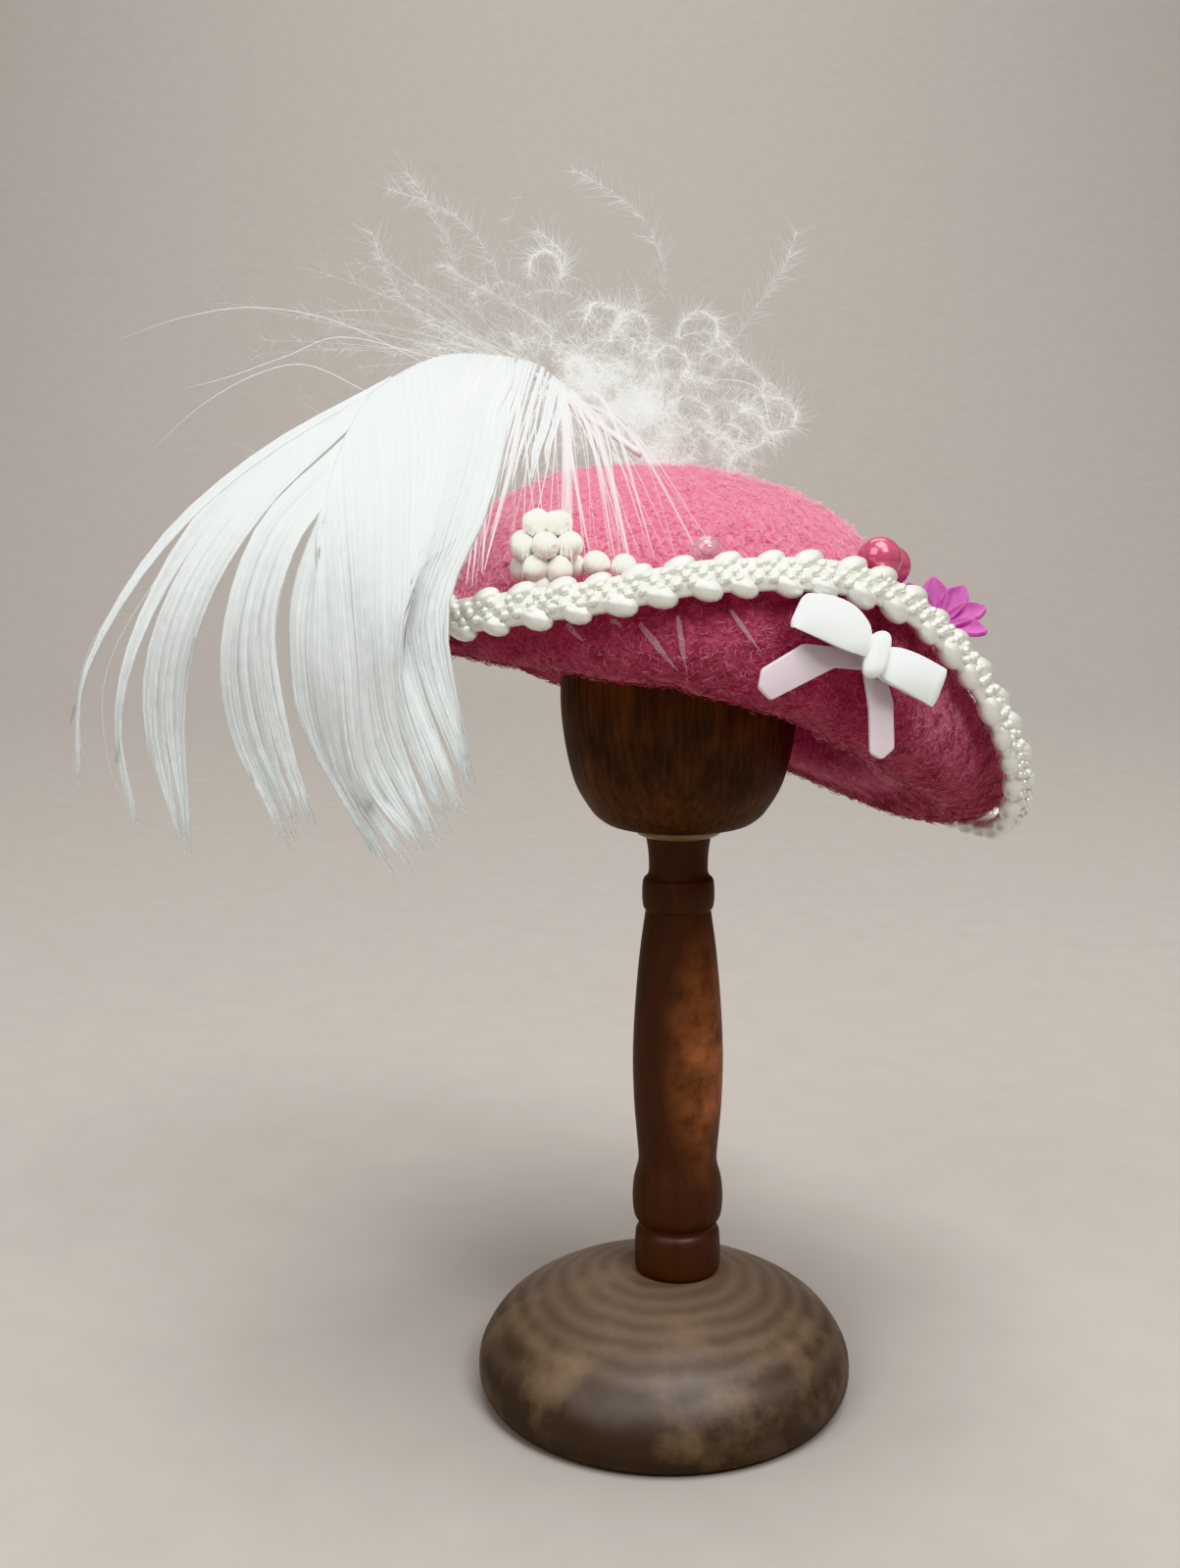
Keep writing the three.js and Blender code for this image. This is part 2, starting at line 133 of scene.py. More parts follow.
CAMERA_AT = Vector((-5.58, -124.3, 66.66)) * MM
CAMERA_PITCH = math.radians(8.5)
CAMERA_ROLL = math.radians(-0.3)
bpy.ops.object.camera_add(location=CAMERA_AT)
camera = bpy.context.object
camera.name = "close_camera"
camera.rotation_euler = (
    Matrix.Rotation(math.pi / 2 - CAMERA_PITCH, 3, "X") @ Matrix.Rotation(CAMERA_ROLL, 3, "Z")
).to_euler()
camera.data.lens = 38.25
camera.data.sensor_width = 36.0
camera.data.clip_start = 0.005
bpy.context.scene.camera = camera


# The foot of the stand is a low dome of turned wood, stained grey-brown and rubbed back to a golden tone
# on its shoulders, with the lathe's fine rings still showing.
FOOT_PROFILE = [
    (0, 0), (6, 0), (12.6, 0), (13.7, 0.15), (14.3, 0.7), (14.6, 1.8), (14.3, 3.6), (12.8, 5.8),
    (10.4, 7.4), (7.6, 8.6), (5.6, 9.2), (4.4, 9.5), (3.4, 9.6), (0, 9.6),
]


def smooth_line(points, count, closed=False):
    """Points along a smooth curve through the given ones; further axes hold more curves at once."""
    points = np.asarray(points, float)
    if closed:
        padded = np.concatenate([points[-1:], points, points[:2]])
        spans = len(points)
    else:
        padded = np.concatenate([2 * points[:1] - points[1:2], points, 2 * points[-1:] - points[-2:-1]])
        spans = len(points) - 1
    share = np.linspace(0, spans, count, endpoint=not closed)
    span = np.minimum(share.astype(int), spans - 1)
    t = (share - span).reshape((-1,) + (1,) * (points.ndim - 1))
    a, b, c, d = (padded[span + k] for k in range(4))
    return 0.5 * (2 * b + (c - a) * t + (2 * a - 5 * b + 4 * c - d) * t**2 + (3 * b - a - 3 * c + d) * t**3)


def turn_on_lathe(name, profile, axis_x, points, sides):
    """Draws the smooth profile by extruding a point, and spins it round the upright axis at axis_x."""
    line = smooth_line(profile, points) * MM
    line[:, 0] = np.maximum(line[:, 0], 0)
    bpy.ops.object.select_all(action="DESELECT")
    bpy.ops.mesh.primitive_plane_add(size=MM, location=(axis_x * MM + line[0, 0], 0, line[0, 1]))
    piece = bpy.context.object
    piece.name = name
    bpy.ops.object.mode_set(mode="EDIT")
    bpy.ops.mesh.merge(type="CENTER")
    for step in np.diff(line, axis=0):
        bpy.ops.mesh.extrude_vertices_move(TRANSFORM_OT_translate={"value": (step[0], 0, step[1])})
    bpy.ops.mesh.select_all(action="SELECT")
    bpy.ops.mesh.spin(steps=sides, angle=2 * math.pi, center=(axis_x * MM, 0, 0), axis=(0, 0, 1))
    bpy.ops.mesh.select_all(action="SELECT")
    bpy.ops.mesh.remove_doubles(threshold=0.002 * MM)
    bpy.ops.mesh.normals_make_consistent(inside=False)
    bpy.ops.object.mode_set(mode="OBJECT")
    bpy.ops.object.transform_apply(location=True, rotation=True, scale=True)
    bpy.ops.object.shade_smooth_by_angle(angle=math.radians(50))
    return piece


def settle(piece, material, slot, *cad_nodes):
    """Gives a finished piece its material and its place on the object's one body. The slot is not used."""
    piece.data.materials.clear()
    piece.data.materials.append(material)
    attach(piece, "root")
    if cad_nodes:
        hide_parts(*cad_nodes)


foot = turn_on_lathe("turned_foot", FOOT_PROFILE, axis_x=0.0, points=64, sides=96)
# Stained and rubbed birch: dull grey-brown with soft darker lathe rings 1.6 mm apart, paler towards the
# top as painted light from above, with rubbed patches.
rubbed_birch = blank_material("birch_grey_stain_rubbed")
place = add_node(rubbed_birch, "ShaderNodeTexCoord", {})
rings = add_node(
    rubbed_birch,
    "ShaderNodeTexWave",
    {"Vector": place.outputs["Object"], "Scale": 0.314 / (1.6 * MM), "Distortion": 3.5, "Detail": 4.0,
     "Detail Scale": 0.8, "Detail Roughness": 0.6},
    wave_type="RINGS",
    rings_direction="Z",
)
patches = add_node(
    rubbed_birch,
    "ShaderNodeTexNoise",
    {"Vector": place.outputs["Object"], "Scale": 1 / (6 * MM), "Detail": 6.0, "Roughness": 0.6},
)
in_patch = add_node(
    rubbed_birch,
    "ShaderNodeMapRange",
    {"Value": patches.outputs["Fac"], "From Min": 0.5, "From Max": 0.9},
)
stain = add_node(
    rubbed_birch,
    "ShaderNodeMixRGB",
    {"Fac": rings.outputs["Fac"], "Color1": linear("#372D26"), "Color2": linear("#4C4138")},
)
axes = add_node(rubbed_birch, "ShaderNodeSeparateXYZ", {"Vector": place.outputs["Object"]})
# Darker towards the rim and paler towards the top: painted light from above.
painted_top_light = add_node(
    rubbed_birch,
    "ShaderNodeMapRange",
    {"Value": axes.outputs["Z"], "From Min": 4.5 * MM, "From Max": 9.0 * MM},
)
painted_top_lit_tone = add_node(
    rubbed_birch,
    "ShaderNodeMixRGB",
    {"Fac": painted_top_light.outputs["Result"], "Color1": stain.outputs["Color"], "Color2": linear("#54473C")},
    blend_type="SCREEN",
)
tone = add_node(
    rubbed_birch,
    "ShaderNodeMixRGB",
    {"Fac": in_patch.outputs["Result"], "Color1": painted_top_lit_tone.outputs["Color"], "Color2": linear("#86705A")},
)
grain = add_node(
    rubbed_birch, "ShaderNodeBump", {"Height": rings.outputs["Fac"], "Strength": 0.15, "Distance": 0.05 * MM}
)
shader = add_node(
    rubbed_birch,
    "ShaderNodeBsdfPrincipled",
    {"Base Color": tone.outputs["Color"], "Roughness": 0.52, "Normal": grain.outputs["Normal"]},
)
add_node(rubbed_birch, "ShaderNodeOutputMaterial", {"Surface": shader.outputs["BSDF"]})
settle(foot, rubbed_birch, "stand_wood", "stand_base")


# The spindle is a slim turned baluster with a collar at each end, dyed red-brown, with a mottled copper
# patch on one side of its belly. It stands glued on the foot, and the head is glued on it.
SPINDLE_X = 1.1
# The middle of a mottled copper patch on the front right of the belly.
COPPER_PATCH_AT = Vector((3.6, -2.4, 27.5)) * MM
SPINDLE_PROFILE = [
    (0, 9.7), (2.6, 9.7), (3.25, 9.8), (3.35, 10.8), (3.3, 12.4), (3.2, 12.9), (2.98, 13.25), (3.05, 13.6),
    (3.4, 14.2), (3.52, 15.6), (3.4, 17), (3.1, 18.2), (3.05, 19), (3.2, 20.8), (3.4, 23.5), (3.48, 27),
    (3.3, 31), (2.95, 35), (2.55, 38), (2.5, 38.4), (2.68, 38.7), (2.76, 39.6), (2.68, 40.7), (2.36, 41.1),
    (2.24, 41.6), (2.3, 43), (2.5, 44.5), (2.2, 44.7), (0, 44.7),
]
spindle = turn_on_lathe("turned_spindle", SPINDLE_PROFILE, SPINDLE_X, points=150, sides=64)
# Dyed maple, waxed: dark red-brown with long grain streaks 0.9 mm wide, and a mottled copper patch on the
# front right of its belly.
dyed_maple = blank_material("maple_red_brown_waxed")
place = add_node(dyed_maple, "ShaderNodeTexCoord", {})
lengthwise = add_node(
    dyed_maple, "ShaderNodeMapping", {"Vector": place.outputs["Object"], "Scale": (1.0, 1.0, 0.12)}
)
streaks = add_node(
    dyed_maple,
    "ShaderNodeTexNoise",
    {"Vector": lengthwise.outputs["Vector"], "Scale": 1 / (0.9 * MM), "Detail": 6.0, "Roughness": 0.65},
)
from_patch = add_node(
    dyed_maple,
    "ShaderNodeVectorMath",
    {0: place.outputs["Object"], 1: COPPER_PATCH_AT},
    operation="SUBTRACT",
)
patch_shape = add_node(
    dyed_maple, "ShaderNodeMapping", {"Vector": from_patch.outputs["Vector"], "Scale": (1.0, 1.0, 0.38)}
)
patch_distance = add_node(
    dyed_maple, "ShaderNodeVectorMath", {0: patch_shape.outputs["Vector"]}, operation="LENGTH"
)
patches = add_node(
    dyed_maple,
    "ShaderNodeTexNoise",
    {"Vector": place.outputs["Object"], "Scale": 1 / (2.4 * MM), "Detail": 6.0, "Roughness": 0.65},
)
patch_mottle = add_node(
    dyed_maple, "ShaderNodeMapRange", {"Value": patches.outputs["Fac"], "From Min": 0.3, "From Max": 0.7}
)
near_patch = add_node(
    dyed_maple,
    "ShaderNodeMapRange",
    {"Value": patch_distance.outputs["Value"], "From Min": 4.2 * MM, "From Max": 1.6 * MM},
)
in_patch = add_node(
    dyed_maple,
    "ShaderNodeMath",
    {0: near_patch.outputs["Result"], 1: patch_mottle.outputs["Result"]},
    operation="MULTIPLY",
)
stain = add_node(
    dyed_maple,
    "ShaderNodeMixRGB",
    {"Fac": streaks.outputs["Fac"], "Color1": linear("#22120D"), "Color2": linear("#4A2C20")},
)
tone = add_node(
    dyed_maple,
    "ShaderNodeMixRGB",
    {"Fac": in_patch.outputs["Value"], "Color1": stain.outputs["Color"], "Color2": linear("#985F42")},
)
grain = add_node(
    dyed_maple, "ShaderNodeBump", {"Height": streaks.outputs["Fac"], "Strength": 0.2, "Distance": 0.05 * MM}
)
shader = add_node(
    dyed_maple,
    "ShaderNodeBsdfPrincipled",
    {"Base Color": tone.outputs["Color"], "Roughness": 0.5, "Normal": grain.outputs["Normal"]},
)
add_node(dyed_maple, "ShaderNodeOutputMaterial", {"Surface": shader.outputs["BSDF"]})
settle(spindle, dyed_maple, "stand_wood", "stand_stem")


# The head is an egg of dark wood that fills the crown, glued on the end of the spindle. It was turned and
# left with its upright grain open.
HEAD_PROFILE = [
    (0, 44.9), (3.6, 44.9), (4.9, 45), (5.8, 45.4), (6.7, 46.3), (7.9, 48.5), (8.65, 52), (8.85, 55.5),
    (8.4, 60), (6.9, 64), (4.2, 67.2), (1.6, 68.6), (0, 68.8),
]
head = turn_on_lathe("turned_head", HEAD_PROFILE, SPINDLE_X, points=72, sides=96)
# Oiled walnut: nearly black-brown with upright fibres 0.45 mm wide and paler rubbed streaks.
oiled_walnut = blank_material("walnut_dark_oiled")
place = add_node(oiled_walnut, "ShaderNodeTexCoord", {})
lengthwise = add_node(
    oiled_walnut, "ShaderNodeMapping", {"Vector": place.outputs["Object"], "Scale": (1.0, 1.0, 0.07)}
)
fibres = add_node(
    oiled_walnut,
    "ShaderNodeTexNoise",
    {"Vector": lengthwise.outputs["Vector"], "Scale": 1 / (0.45 * MM), "Detail": 5.0, "Roughness": 0.65},
)
clouds = add_node(
    oiled_walnut,
    "ShaderNodeTexNoise",
    {"Vector": place.outputs["Object"], "Scale": 1 / (6 * MM), "Detail": 3.0},
)
both = add_node(
    oiled_walnut,
    "ShaderNodeMath",
    {0: fibres.outputs["Fac"], 1: clouds.outputs["Fac"]},
    operation="MULTIPLY",
)
paler = add_node(
    oiled_walnut, "ShaderNodeMapRange", {"Value": both.outputs["Value"], "From Min": 0.16, "From Max": 0.42}
)
tone = add_node(
    oiled_walnut,
    "ShaderNodeMixRGB",
    {"Fac": paler.outputs["Result"], "Color1": linear("#22100A"), "Color2": linear("#5A3826")},
)
grain = add_node(
    oiled_walnut,
    "ShaderNodeBump",
    {"Height": fibres.outputs["Fac"], "Strength": 0.35, "Distance": 0.06 * MM},
)
shader = add_node(
    oiled_walnut,
    "ShaderNodeBsdfPrincipled",
    {"Base Color": tone.outputs["Color"], "Roughness": 0.55, "Normal": grain.outputs["Normal"]},
)
add_node(oiled_walnut, "ShaderNodeOutputMaterial", {"Surface": shader.outputs["BSDF"]})
settle(head, oiled_walnut, "head_wood", "stand_head")


# A ring of wood glue was squeezed out where the head was pressed on the spindle. It has dried in place
# under the head, and hides the joint.
GLUE_PROFILE = [
    (2.35, 44.2), (2.75, 44.15), (3.2, 44.4), (3.35, 44.75), (3.0, 44.95), (2.4, 44.9), (2.3, 44.5),
]
glue_line = smooth_line(GLUE_PROFILE, 24, closed=True)
glue_line = np.concatenate([glue_line, glue_line[:1]])
glue_ring = turn_on_lathe("neck_glue", glue_line, SPINDLE_X, points=48, sides=64)
# Dried wood glue: cloudy pale brown, a little glossy, uneven.
dried_glue = blank_material("wood_glue_dried")
place = add_node(dried_glue, "ShaderNodeTexCoord", {})
lumps = add_node(
    dried_glue,
    "ShaderNodeTexNoise",
    {"Vector": place.outputs["Object"], "Scale": 1 / (0.8 * MM), "Detail": 4.0},
)
tone = add_node(
    dried_glue,
    "ShaderNodeMixRGB",
    {"Fac": lumps.outputs["Fac"], "Color1": linear("#5E4A3C"), "Color2": linear("#A08C7A")},
)
uneven = add_node(
    dried_glue, "ShaderNodeBump", {"Height": lumps.outputs["Fac"], "Strength": 0.6, "Distance": 0.1 * MM}
)
shader = add_node(
    dried_glue,
    "ShaderNodeBsdfPrincipled",
    {"Base Color": tone.outputs["Color"], "Roughness": 0.35, "Normal": uneven.outputs["Normal"]},
)
add_node(dried_glue, "ShaderNodeOutputMaterial", {"Surface": shader.outputs["BSDF"]})
settle(glue_ring, dried_glue, "stand_wood")


# The hat is one sheet of pink wool felt, steamed over a block: an oval crown with a brim that turns up
# all round and is cocked high on the near side. The felt is left raw, with a woolly surface.
felt = bpy.data.objects.new("felt_hat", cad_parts["felt_body"].data.copy())
bpy.context.scene.collection.objects.link(felt)
bpy.ops.object.select_all(action="DESELECT")
felt.select_set(True)
bpy.context.view_layer.objects.active = felt
bpy.ops.object.mode_set(mode="EDIT")
bpy.ops.mesh.select_all(action="SELECT")
bpy.ops.mesh.remove_doubles(threshold=0.002 * MM)
bpy.ops.mesh.tris_convert_to_quads(face_threshold=math.radians(60), shape_threshold=math.radians(60))
bpy.ops.object.mode_set(mode="OBJECT")
bpy.ops.mesh.customdata_custom_splitnormals_clear()
rounding = felt.modifiers.new("rounding", "SUBSURF")
rounding.levels = 2
rounding.render_levels = 2
bpy.ops.object.modifier_apply(modifier=rounding.name)
# The felt is uneven: slow waves and small pills, each with its size and height.
FELT_LUMPS = [("felt_waves", 4.0, 0.5), ("felt_pills", 0.7, 0.22)]
for lump_name, lump_size, lump_height in FELT_LUMPS:
    lump_texture = bpy.data.textures.new(lump_name, "CLOUDS")
    lump_texture.noise_scale = lump_size * MM
    lumps = felt.modifiers.new(lump_name, "DISPLACE")
    lumps.texture = lump_texture
    lumps.strength = lump_height * MM
    lumps.mid_level = 0.5
    bpy.ops.object.modifier_apply(modifier=lumps.name)
bpy.ops.object.shade_smooth()
HAT_SEAT = np.array([1.6, 0, 53.7]) * MM
HAT_TILT = np.array(Matrix.Rotation(math.radians(-10), 3, "X") @ Matrix.Rotation(math.radians(11), 3, "Y"))
CROWN_LEFT = 20.0
CROWN_RIGHT = 16.0
CROWN_DEPTH = 14.0


def to_hat_axes(places):
    return (places - HAT_SEAT) @ HAT_TILT


def crown_share(places):
    """How far each place lies from the hat's axis, as a share of the way to the outside of the crown."""
    x, y = (to_hat_axes(places) / MM).T[:2]
    return np.hypot(x / np.where(x < 0, CROWN_LEFT, CROWN_RIGHT), y / CROWN_DEPTH)


places = np.empty(len(felt.data.vertices) * 3)
felt.data.vertices.foreach_get("co", places)
# The crown is painted paler: painted light from above. This share marks where.
painted_crown_light = felt.data.attributes.new("painted_crown_light", "FLOAT", "POINT")
painted_crown_light.data.foreach_set("value", np.interp(crown_share(places.reshape(-1, 3)), [1.04, 1.12], [1, 0]))
# Milled wool felt: no gloss, paler on the matted fibres and a deeper pink in the pits as painted shade,
# tangles
# 0.55 mm across, and a soft pale pink on the crown as painted light from above.
wool_felt = blank_material("wool_felt_pink_milled")
place = add_node(wool_felt, "ShaderNodeTexCoord", {})
tangle = add_node(
    wool_felt,
    "ShaderNodeTexNoise",
    {"Vector": place.outputs["Object"], "Scale": 1 / (0.55 * MM), "Detail": 6.0, "Roughness": 0.7,
     "Distortion": 1.6},
)
drift = add_node(
    wool_felt,
    "ShaderNodeTexNoise",
    {"Vector": place.outputs["Object"], "Scale": 1 / (9 * MM), "Detail": 3.0},
)
# The pits are painted a deeper pink: painted shade in the hollows of the tangles.
pit_shade = add_node(
    wool_felt, "ShaderNodeMapRange", {"Value": tangle.outputs["Fac"], "From Min": 0.34, "From Max": 0.64}
)
wool = add_node(
    wool_felt,
    "ShaderNodeMixRGB",
    {"Fac": pit_shade.outputs["Result"], "Color1": linear("#763240"), "Color2": linear("#D87A90")},
)
tone = add_node(
    wool_felt,
    "ShaderNodeMixRGB",
    {"Fac": drift.outputs["Fac"], "Color1": wool.outputs["Color"], "Color2": linear("#B65A70")},
)
# The crown's paler pink: painted light from above.
nap = add_node(
    wool_felt,
    "ShaderNodeMixRGB",
    {"Fac": pit_shade.outputs["Result"], "Color1": linear("#B04C66"), "Color2": linear("#E08EA4")},
)
painted_crown_light_node = add_node(wool_felt, "ShaderNodeAttribute", {}, attribute_name="painted_crown_light")
tone = add_node(
    wool_felt,
    "ShaderNodeMixRGB",
    {"Fac": painted_crown_light_node.outputs["Fac"], "Color1": tone.outputs["Color"], "Color2": nap.outputs["Color"]},
)
matting = add_node(
    wool_felt, "ShaderNodeBump", {"Height": tangle.outputs["Fac"], "Strength": 0.8, "Distance": 0.25 * MM}
)
shader = add_node(
    wool_felt,
    "ShaderNodeBsdfPrincipled",
    {"Base Color": tone.outputs["Color"], "Roughness": 0.95, "Specular IOR Level": 0.1,
     "Sheen Weight": 1.0, "Sheen Roughness": 0.35, "Sheen Tint": linear("#FFC4D6"),
     "Normal": matting.outputs["Normal"]},
)
add_node(wool_felt, "ShaderNodeOutputMaterial", {"Surface": shader.outputs["BSDF"]})
settle(felt, wool_felt, "felt", "felt_body")


# Loose wool stands on the felt's surface: fine curly fibres that milling has worked out of the sheet, held
# by their roots. They lie matted on it and fuzz its outline.
FIBRES_OF_A_KIND = 9500
HOLLOW_REACH = 13.5
RIM_REACH = 12.0
# The crown's fibres are paler than the brim's: painted light from above.
FIBRE_KINDS = [
    {"piece": "felt_fibres_crown", "material": "wool_fibre_crown_pink_painted_light", "dark": "#E88CA4", "light": "#FAC4D2",
     "on_crown": True, "length": 0.7, "lift": 0.2, "radius": 0.017, "seed": 11},
    {"piece": "felt_fibres_pale", "material": "wool_fibre_pale_pink", "dark": "#C0647A", "light": "#E4A2B4",
     "on_crown": False, "length": 0.5, "lift": 0.14, "radius": 0.022, "seed": 12},
    {"piece": "felt_fibres_deep", "material": "wool_fibre_deep_pink", "dark": "#86303E", "light": "#B45064",
     "on_crown": False, "length": 0.6, "lift": 0.2, "radius": 0.024, "seed": 13},
]


def unit(vectors):
    return vectors / (np.linalg.norm(vectors, axis=-1, keepdims=True) + 1e-12)


def scatter(piece, count, rng):
    """Seeded places on a piece's surface, even by area, with the normals there."""
    mesh = piece.data
    mesh.calc_loop_triangles()
    corners = np.empty(len(mesh.loop_triangles) * 3, np.int32)
    mesh.loop_triangles.foreach_get("vertices", corners)
    places = np.empty(len(mesh.vertices) * 3)
    mesh.vertices.foreach_get("co", places)
    triangles = places.reshape(-1, 3)[corners.reshape(-1, 3)]
    normals = np.cross(triangles[:, 1] - triangles[:, 0], triangles[:, 2] - triangles[:, 0])
    areas = np.linalg.norm(normals, axis=1)
    chosen = rng.choice(len(areas), count, p=areas / areas.sum())
    shares = rng.random((2, count, 1))
    shares = np.where(shares.sum(0) > 1, 1 - shares, shares)
    first, second, third = triangles[chosen].transpose(1, 0, 2)
    return first + shares[0] * (second - first) + shares[1] * (third - first), unit(normals[chosen])


def mesh_piece(name, points, faces):
    mesh = bpy.data.meshes.new(name)
    mesh.from_pydata(points.tolist(), [], faces)
    mesh.update()
    piece = bpy.data.objects.new(name, mesh)
    bpy.context.scene.collection.objects.link(piece)
    mesh.polygons.foreach_set("use_smooth", [True] * len(mesh.polygons))
    return piece


def join_strands(name, paths, radii, facing, sides=3, flat=1.0, closed=False):
    """One mesh of many strands. paths holds strands x points x 3, radii strands x points, in metres."""
    if closed:
        along = unit(np.roll(paths, -1, 1) - np.roll(paths, 1, 1))
    else:
        along = unit(np.gradient(paths, axis=1))
    across = unit(np.cross(along, np.broadcast_to(facing, paths.shape)))
    up = np.cross(across, along)
    turn = np.linspace(0, 2 * math.pi, sides, endpoint=False)[:, None]
    ring = across[:, :, None] * np.cos(turn) + up[:, :, None] * np.sin(turn) * flat
    points = paths[:, :, None] + ring * radii[..., None, None]
    index = np.arange(points.size // 3).reshape(points.shape[:3])
    beside = np.roll(index, -1, 2)
    if closed:
        quads = np.stack([index, np.roll(index, -1, 1), np.roll(beside, -1, 1), beside], -1)
        return mesh_piece(name, points.reshape(-1, 3), quads.reshape(-1, 4).tolist())
    quads = np.stack([index[:, :-1], index[:, 1:], beside[:, 1:], beside[:, :-1]], -1)
    caps = np.concatenate([index[:, 0], index[:, -1, ::-1]])
    return mesh_piece(name, points.reshape(-1, 3), quads.reshape(-1, 4).tolist() + caps.tolist())


def wool_fibres(kind):
    """Curly fibres that lie on the felt's outside, either on its crown or on its brim."""
    rng = np.random.default_rng(kind["seed"])
    start, normal = scatter(felt, FIBRES_OF_A_KIND * 4, rng)
    from_seat = to_hat_axes(start) / MM
    outwards = normal @ HAT_TILT
    from_axis = np.hypot(from_seat[:, 0], from_seat[:, 1])
    # The felt's hidden side, in the hollow of the crown, carries none.
    outside = (from_axis > HOLLOW_REACH) | ((from_seat[:, :2] * outwards[:, :2]).sum(1) > 0)
    outside &= (outwards[:, 2] > -0.6) | (from_axis > RIM_REACH)
    outside &= (crown_share(start) < 1.06) == kind["on_crown"]
    start = start[outside][:FIBRES_OF_A_KIND]
    normal = normal[outside][:FIBRES_OF_A_KIND]
    count = len(start)
    t = np.linspace(0, 1, 4)[None, :, None]
    lie = unit(np.cross(normal, rng.normal(size=(count, 3))))
    aside = np.cross(normal, lie)
    reach = (kind["length"] * (0.5 + rng.random((count, 1, 1)))) * MM
    curl = np.sin(t * (2 + 5 * rng.random((count, 1, 1))) + 6.3 * rng.random((count, 1, 1)))
    rise = kind["lift"] * MM * (0.3 + 1.4 * rng.random((count, 1, 1)) ** 2)
    rise = rise * np.sin(math.pi * (0.1 + 0.8 * t))
    paths = start[:, None] + lie[:, None] * reach * t + aside[:, None] * reach * 0.35 * curl
    paths = paths + normal[:, None] * (rise + 0.03 * MM)
    radii = kind["radius"] * MM * np.broadcast_to(np.array([0.8, 1.0, 0.9, 0.4]), (count, 4))
    return join_strands(kind["piece"], paths, radii, normal[:, None])


# Dyed wool fibre: pale or deep pink, and paler still on the crown as painted light from above, softly
# shining along its length, with bands of uneven dye. The fibres are drawn a little coarser than real wool,
# so that they show.
for kind in FIBRE_KINDS:
    fibres = wool_fibres(kind)
    wool_fibre = blank_material(kind["material"])
    place = add_node(wool_fibre, "ShaderNodeTexCoord", {})
    dye = add_node(
        wool_fibre,
        "ShaderNodeTexNoise",
        {"Vector": place.outputs["Object"], "Scale": 1 / (1.2 * MM), "Detail": 2.0},
    )
    tone = add_node(
        wool_fibre,
        "ShaderNodeMixRGB",
        {"Fac": dye.outputs["Fac"], "Color1": linear(kind["dark"]), "Color2": linear(kind["light"])},
    )
    shader = add_node(
        wool_fibre,
        "ShaderNodeBsdfPrincipled",
        {"Base Color": tone.outputs["Color"], "Roughness": 0.6, "Sheen Weight": 0.3},
    )
    add_node(wool_fibre, "ShaderNodeOutputMaterial", {"Surface": shader.outputs["BSDF"]})
    settle(fibres, wool_fibre, "felt")


# The brim is edged with a pearly white gimp braid: plump satin lobes along both edges and rows of small
# tight knots between them on a flat tape, which is sewn round the brim's edge.
LOBE = {"in_row": 56, "lift": 0.05, "halves": (1.2, 0.74, 0.75), "segments": 14, "rings": 9}
LOBE_AT = 0.85
LOBE_LEAN = 0.45
KNOT = {"in_row": 150, "lift": 0.45, "halves": (0.42, 0.33, 0.38), "segments": 8, "rings": 6}
KNOT_ROWS = (-0.45, 0.05, 0.55)
KNOT_LEAN = 0.9
TAPE_HALF_WIDTH = 1.15
BRAID_STEPS = 900
FINE_STEPS = 4000
# The braid's line is read from the rings of corners of its CAD solid, which stand evenly round the hat.
CAD_RINGS = 88
corners = np.array([vertex.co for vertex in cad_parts["brim_braid"].data.vertices])
corners = np.unique(np.round(to_hat_axes(corners), 7), axis=0)
azimuth = np.arctan2(corners[:, 1], corners[:, 0])
ring_of_corner = np.round(azimuth / (2 * math.pi) * CAD_RINGS).astype(int) % CAD_RINGS
middles = []
widths = []
for i in range(CAD_RINGS):
    ring = corners[ring_of_corner == i]
    from_middle = ring - ring.mean(0)
    widest = from_middle[np.argmax(np.linalg.norm(from_middle, axis=1))]
    middles.append(ring.mean(0))
    widths.append(unit(widest * np.sign(widest[2])))
fine = smooth_line(middles, FINE_STEPS, closed=True)
fine_steps = np.linalg.norm(np.diff(fine, axis=0, append=fine[:1]), axis=1)
lengths = np.concatenate([[0], np.cumsum(fine_steps)])
even = np.searchsorted(lengths, np.linspace(0, lengths[-1], BRAID_STEPS, endpoint=False))
even = even.clip(0, FINE_STEPS - 1)
line = fine[even]
along = unit(np.roll(line, -1, 0) - np.roll(line, 1, 0))
wide = unit(smooth_line(widths, FINE_STEPS, closed=True)[even])
thick = unit(np.cross(along, wide))
thick = thick * np.sign((thick[:, :2] * line[:, :2]).sum(1))[:, None]


def join_ovals(name, ball, centres, axes):
    """One mesh of many ovals, copied from a unit ball. axes holds ovals x 3 half axes x 3, in metres."""
    points = np.array([vertex.co for vertex in ball.data.vertices])
    faces = np.array([[*face.vertices, face.vertices[-1]][:4] for face in ball.data.polygons])
    bpy.data.objects.remove(ball)
    axes = axes * np.sign(np.linalg.det(axes))[:, None, None]
    copies = (np.arange(len(centres)) * len(points))[:, None, None]
    face_lists = [list(dict.fromkeys(face)) for face in (faces + copies).reshape(-1, 4).tolist()]
    return mesh_piece(name, (centres[:, None] + points @ axes).reshape(-1, 3), face_lists)


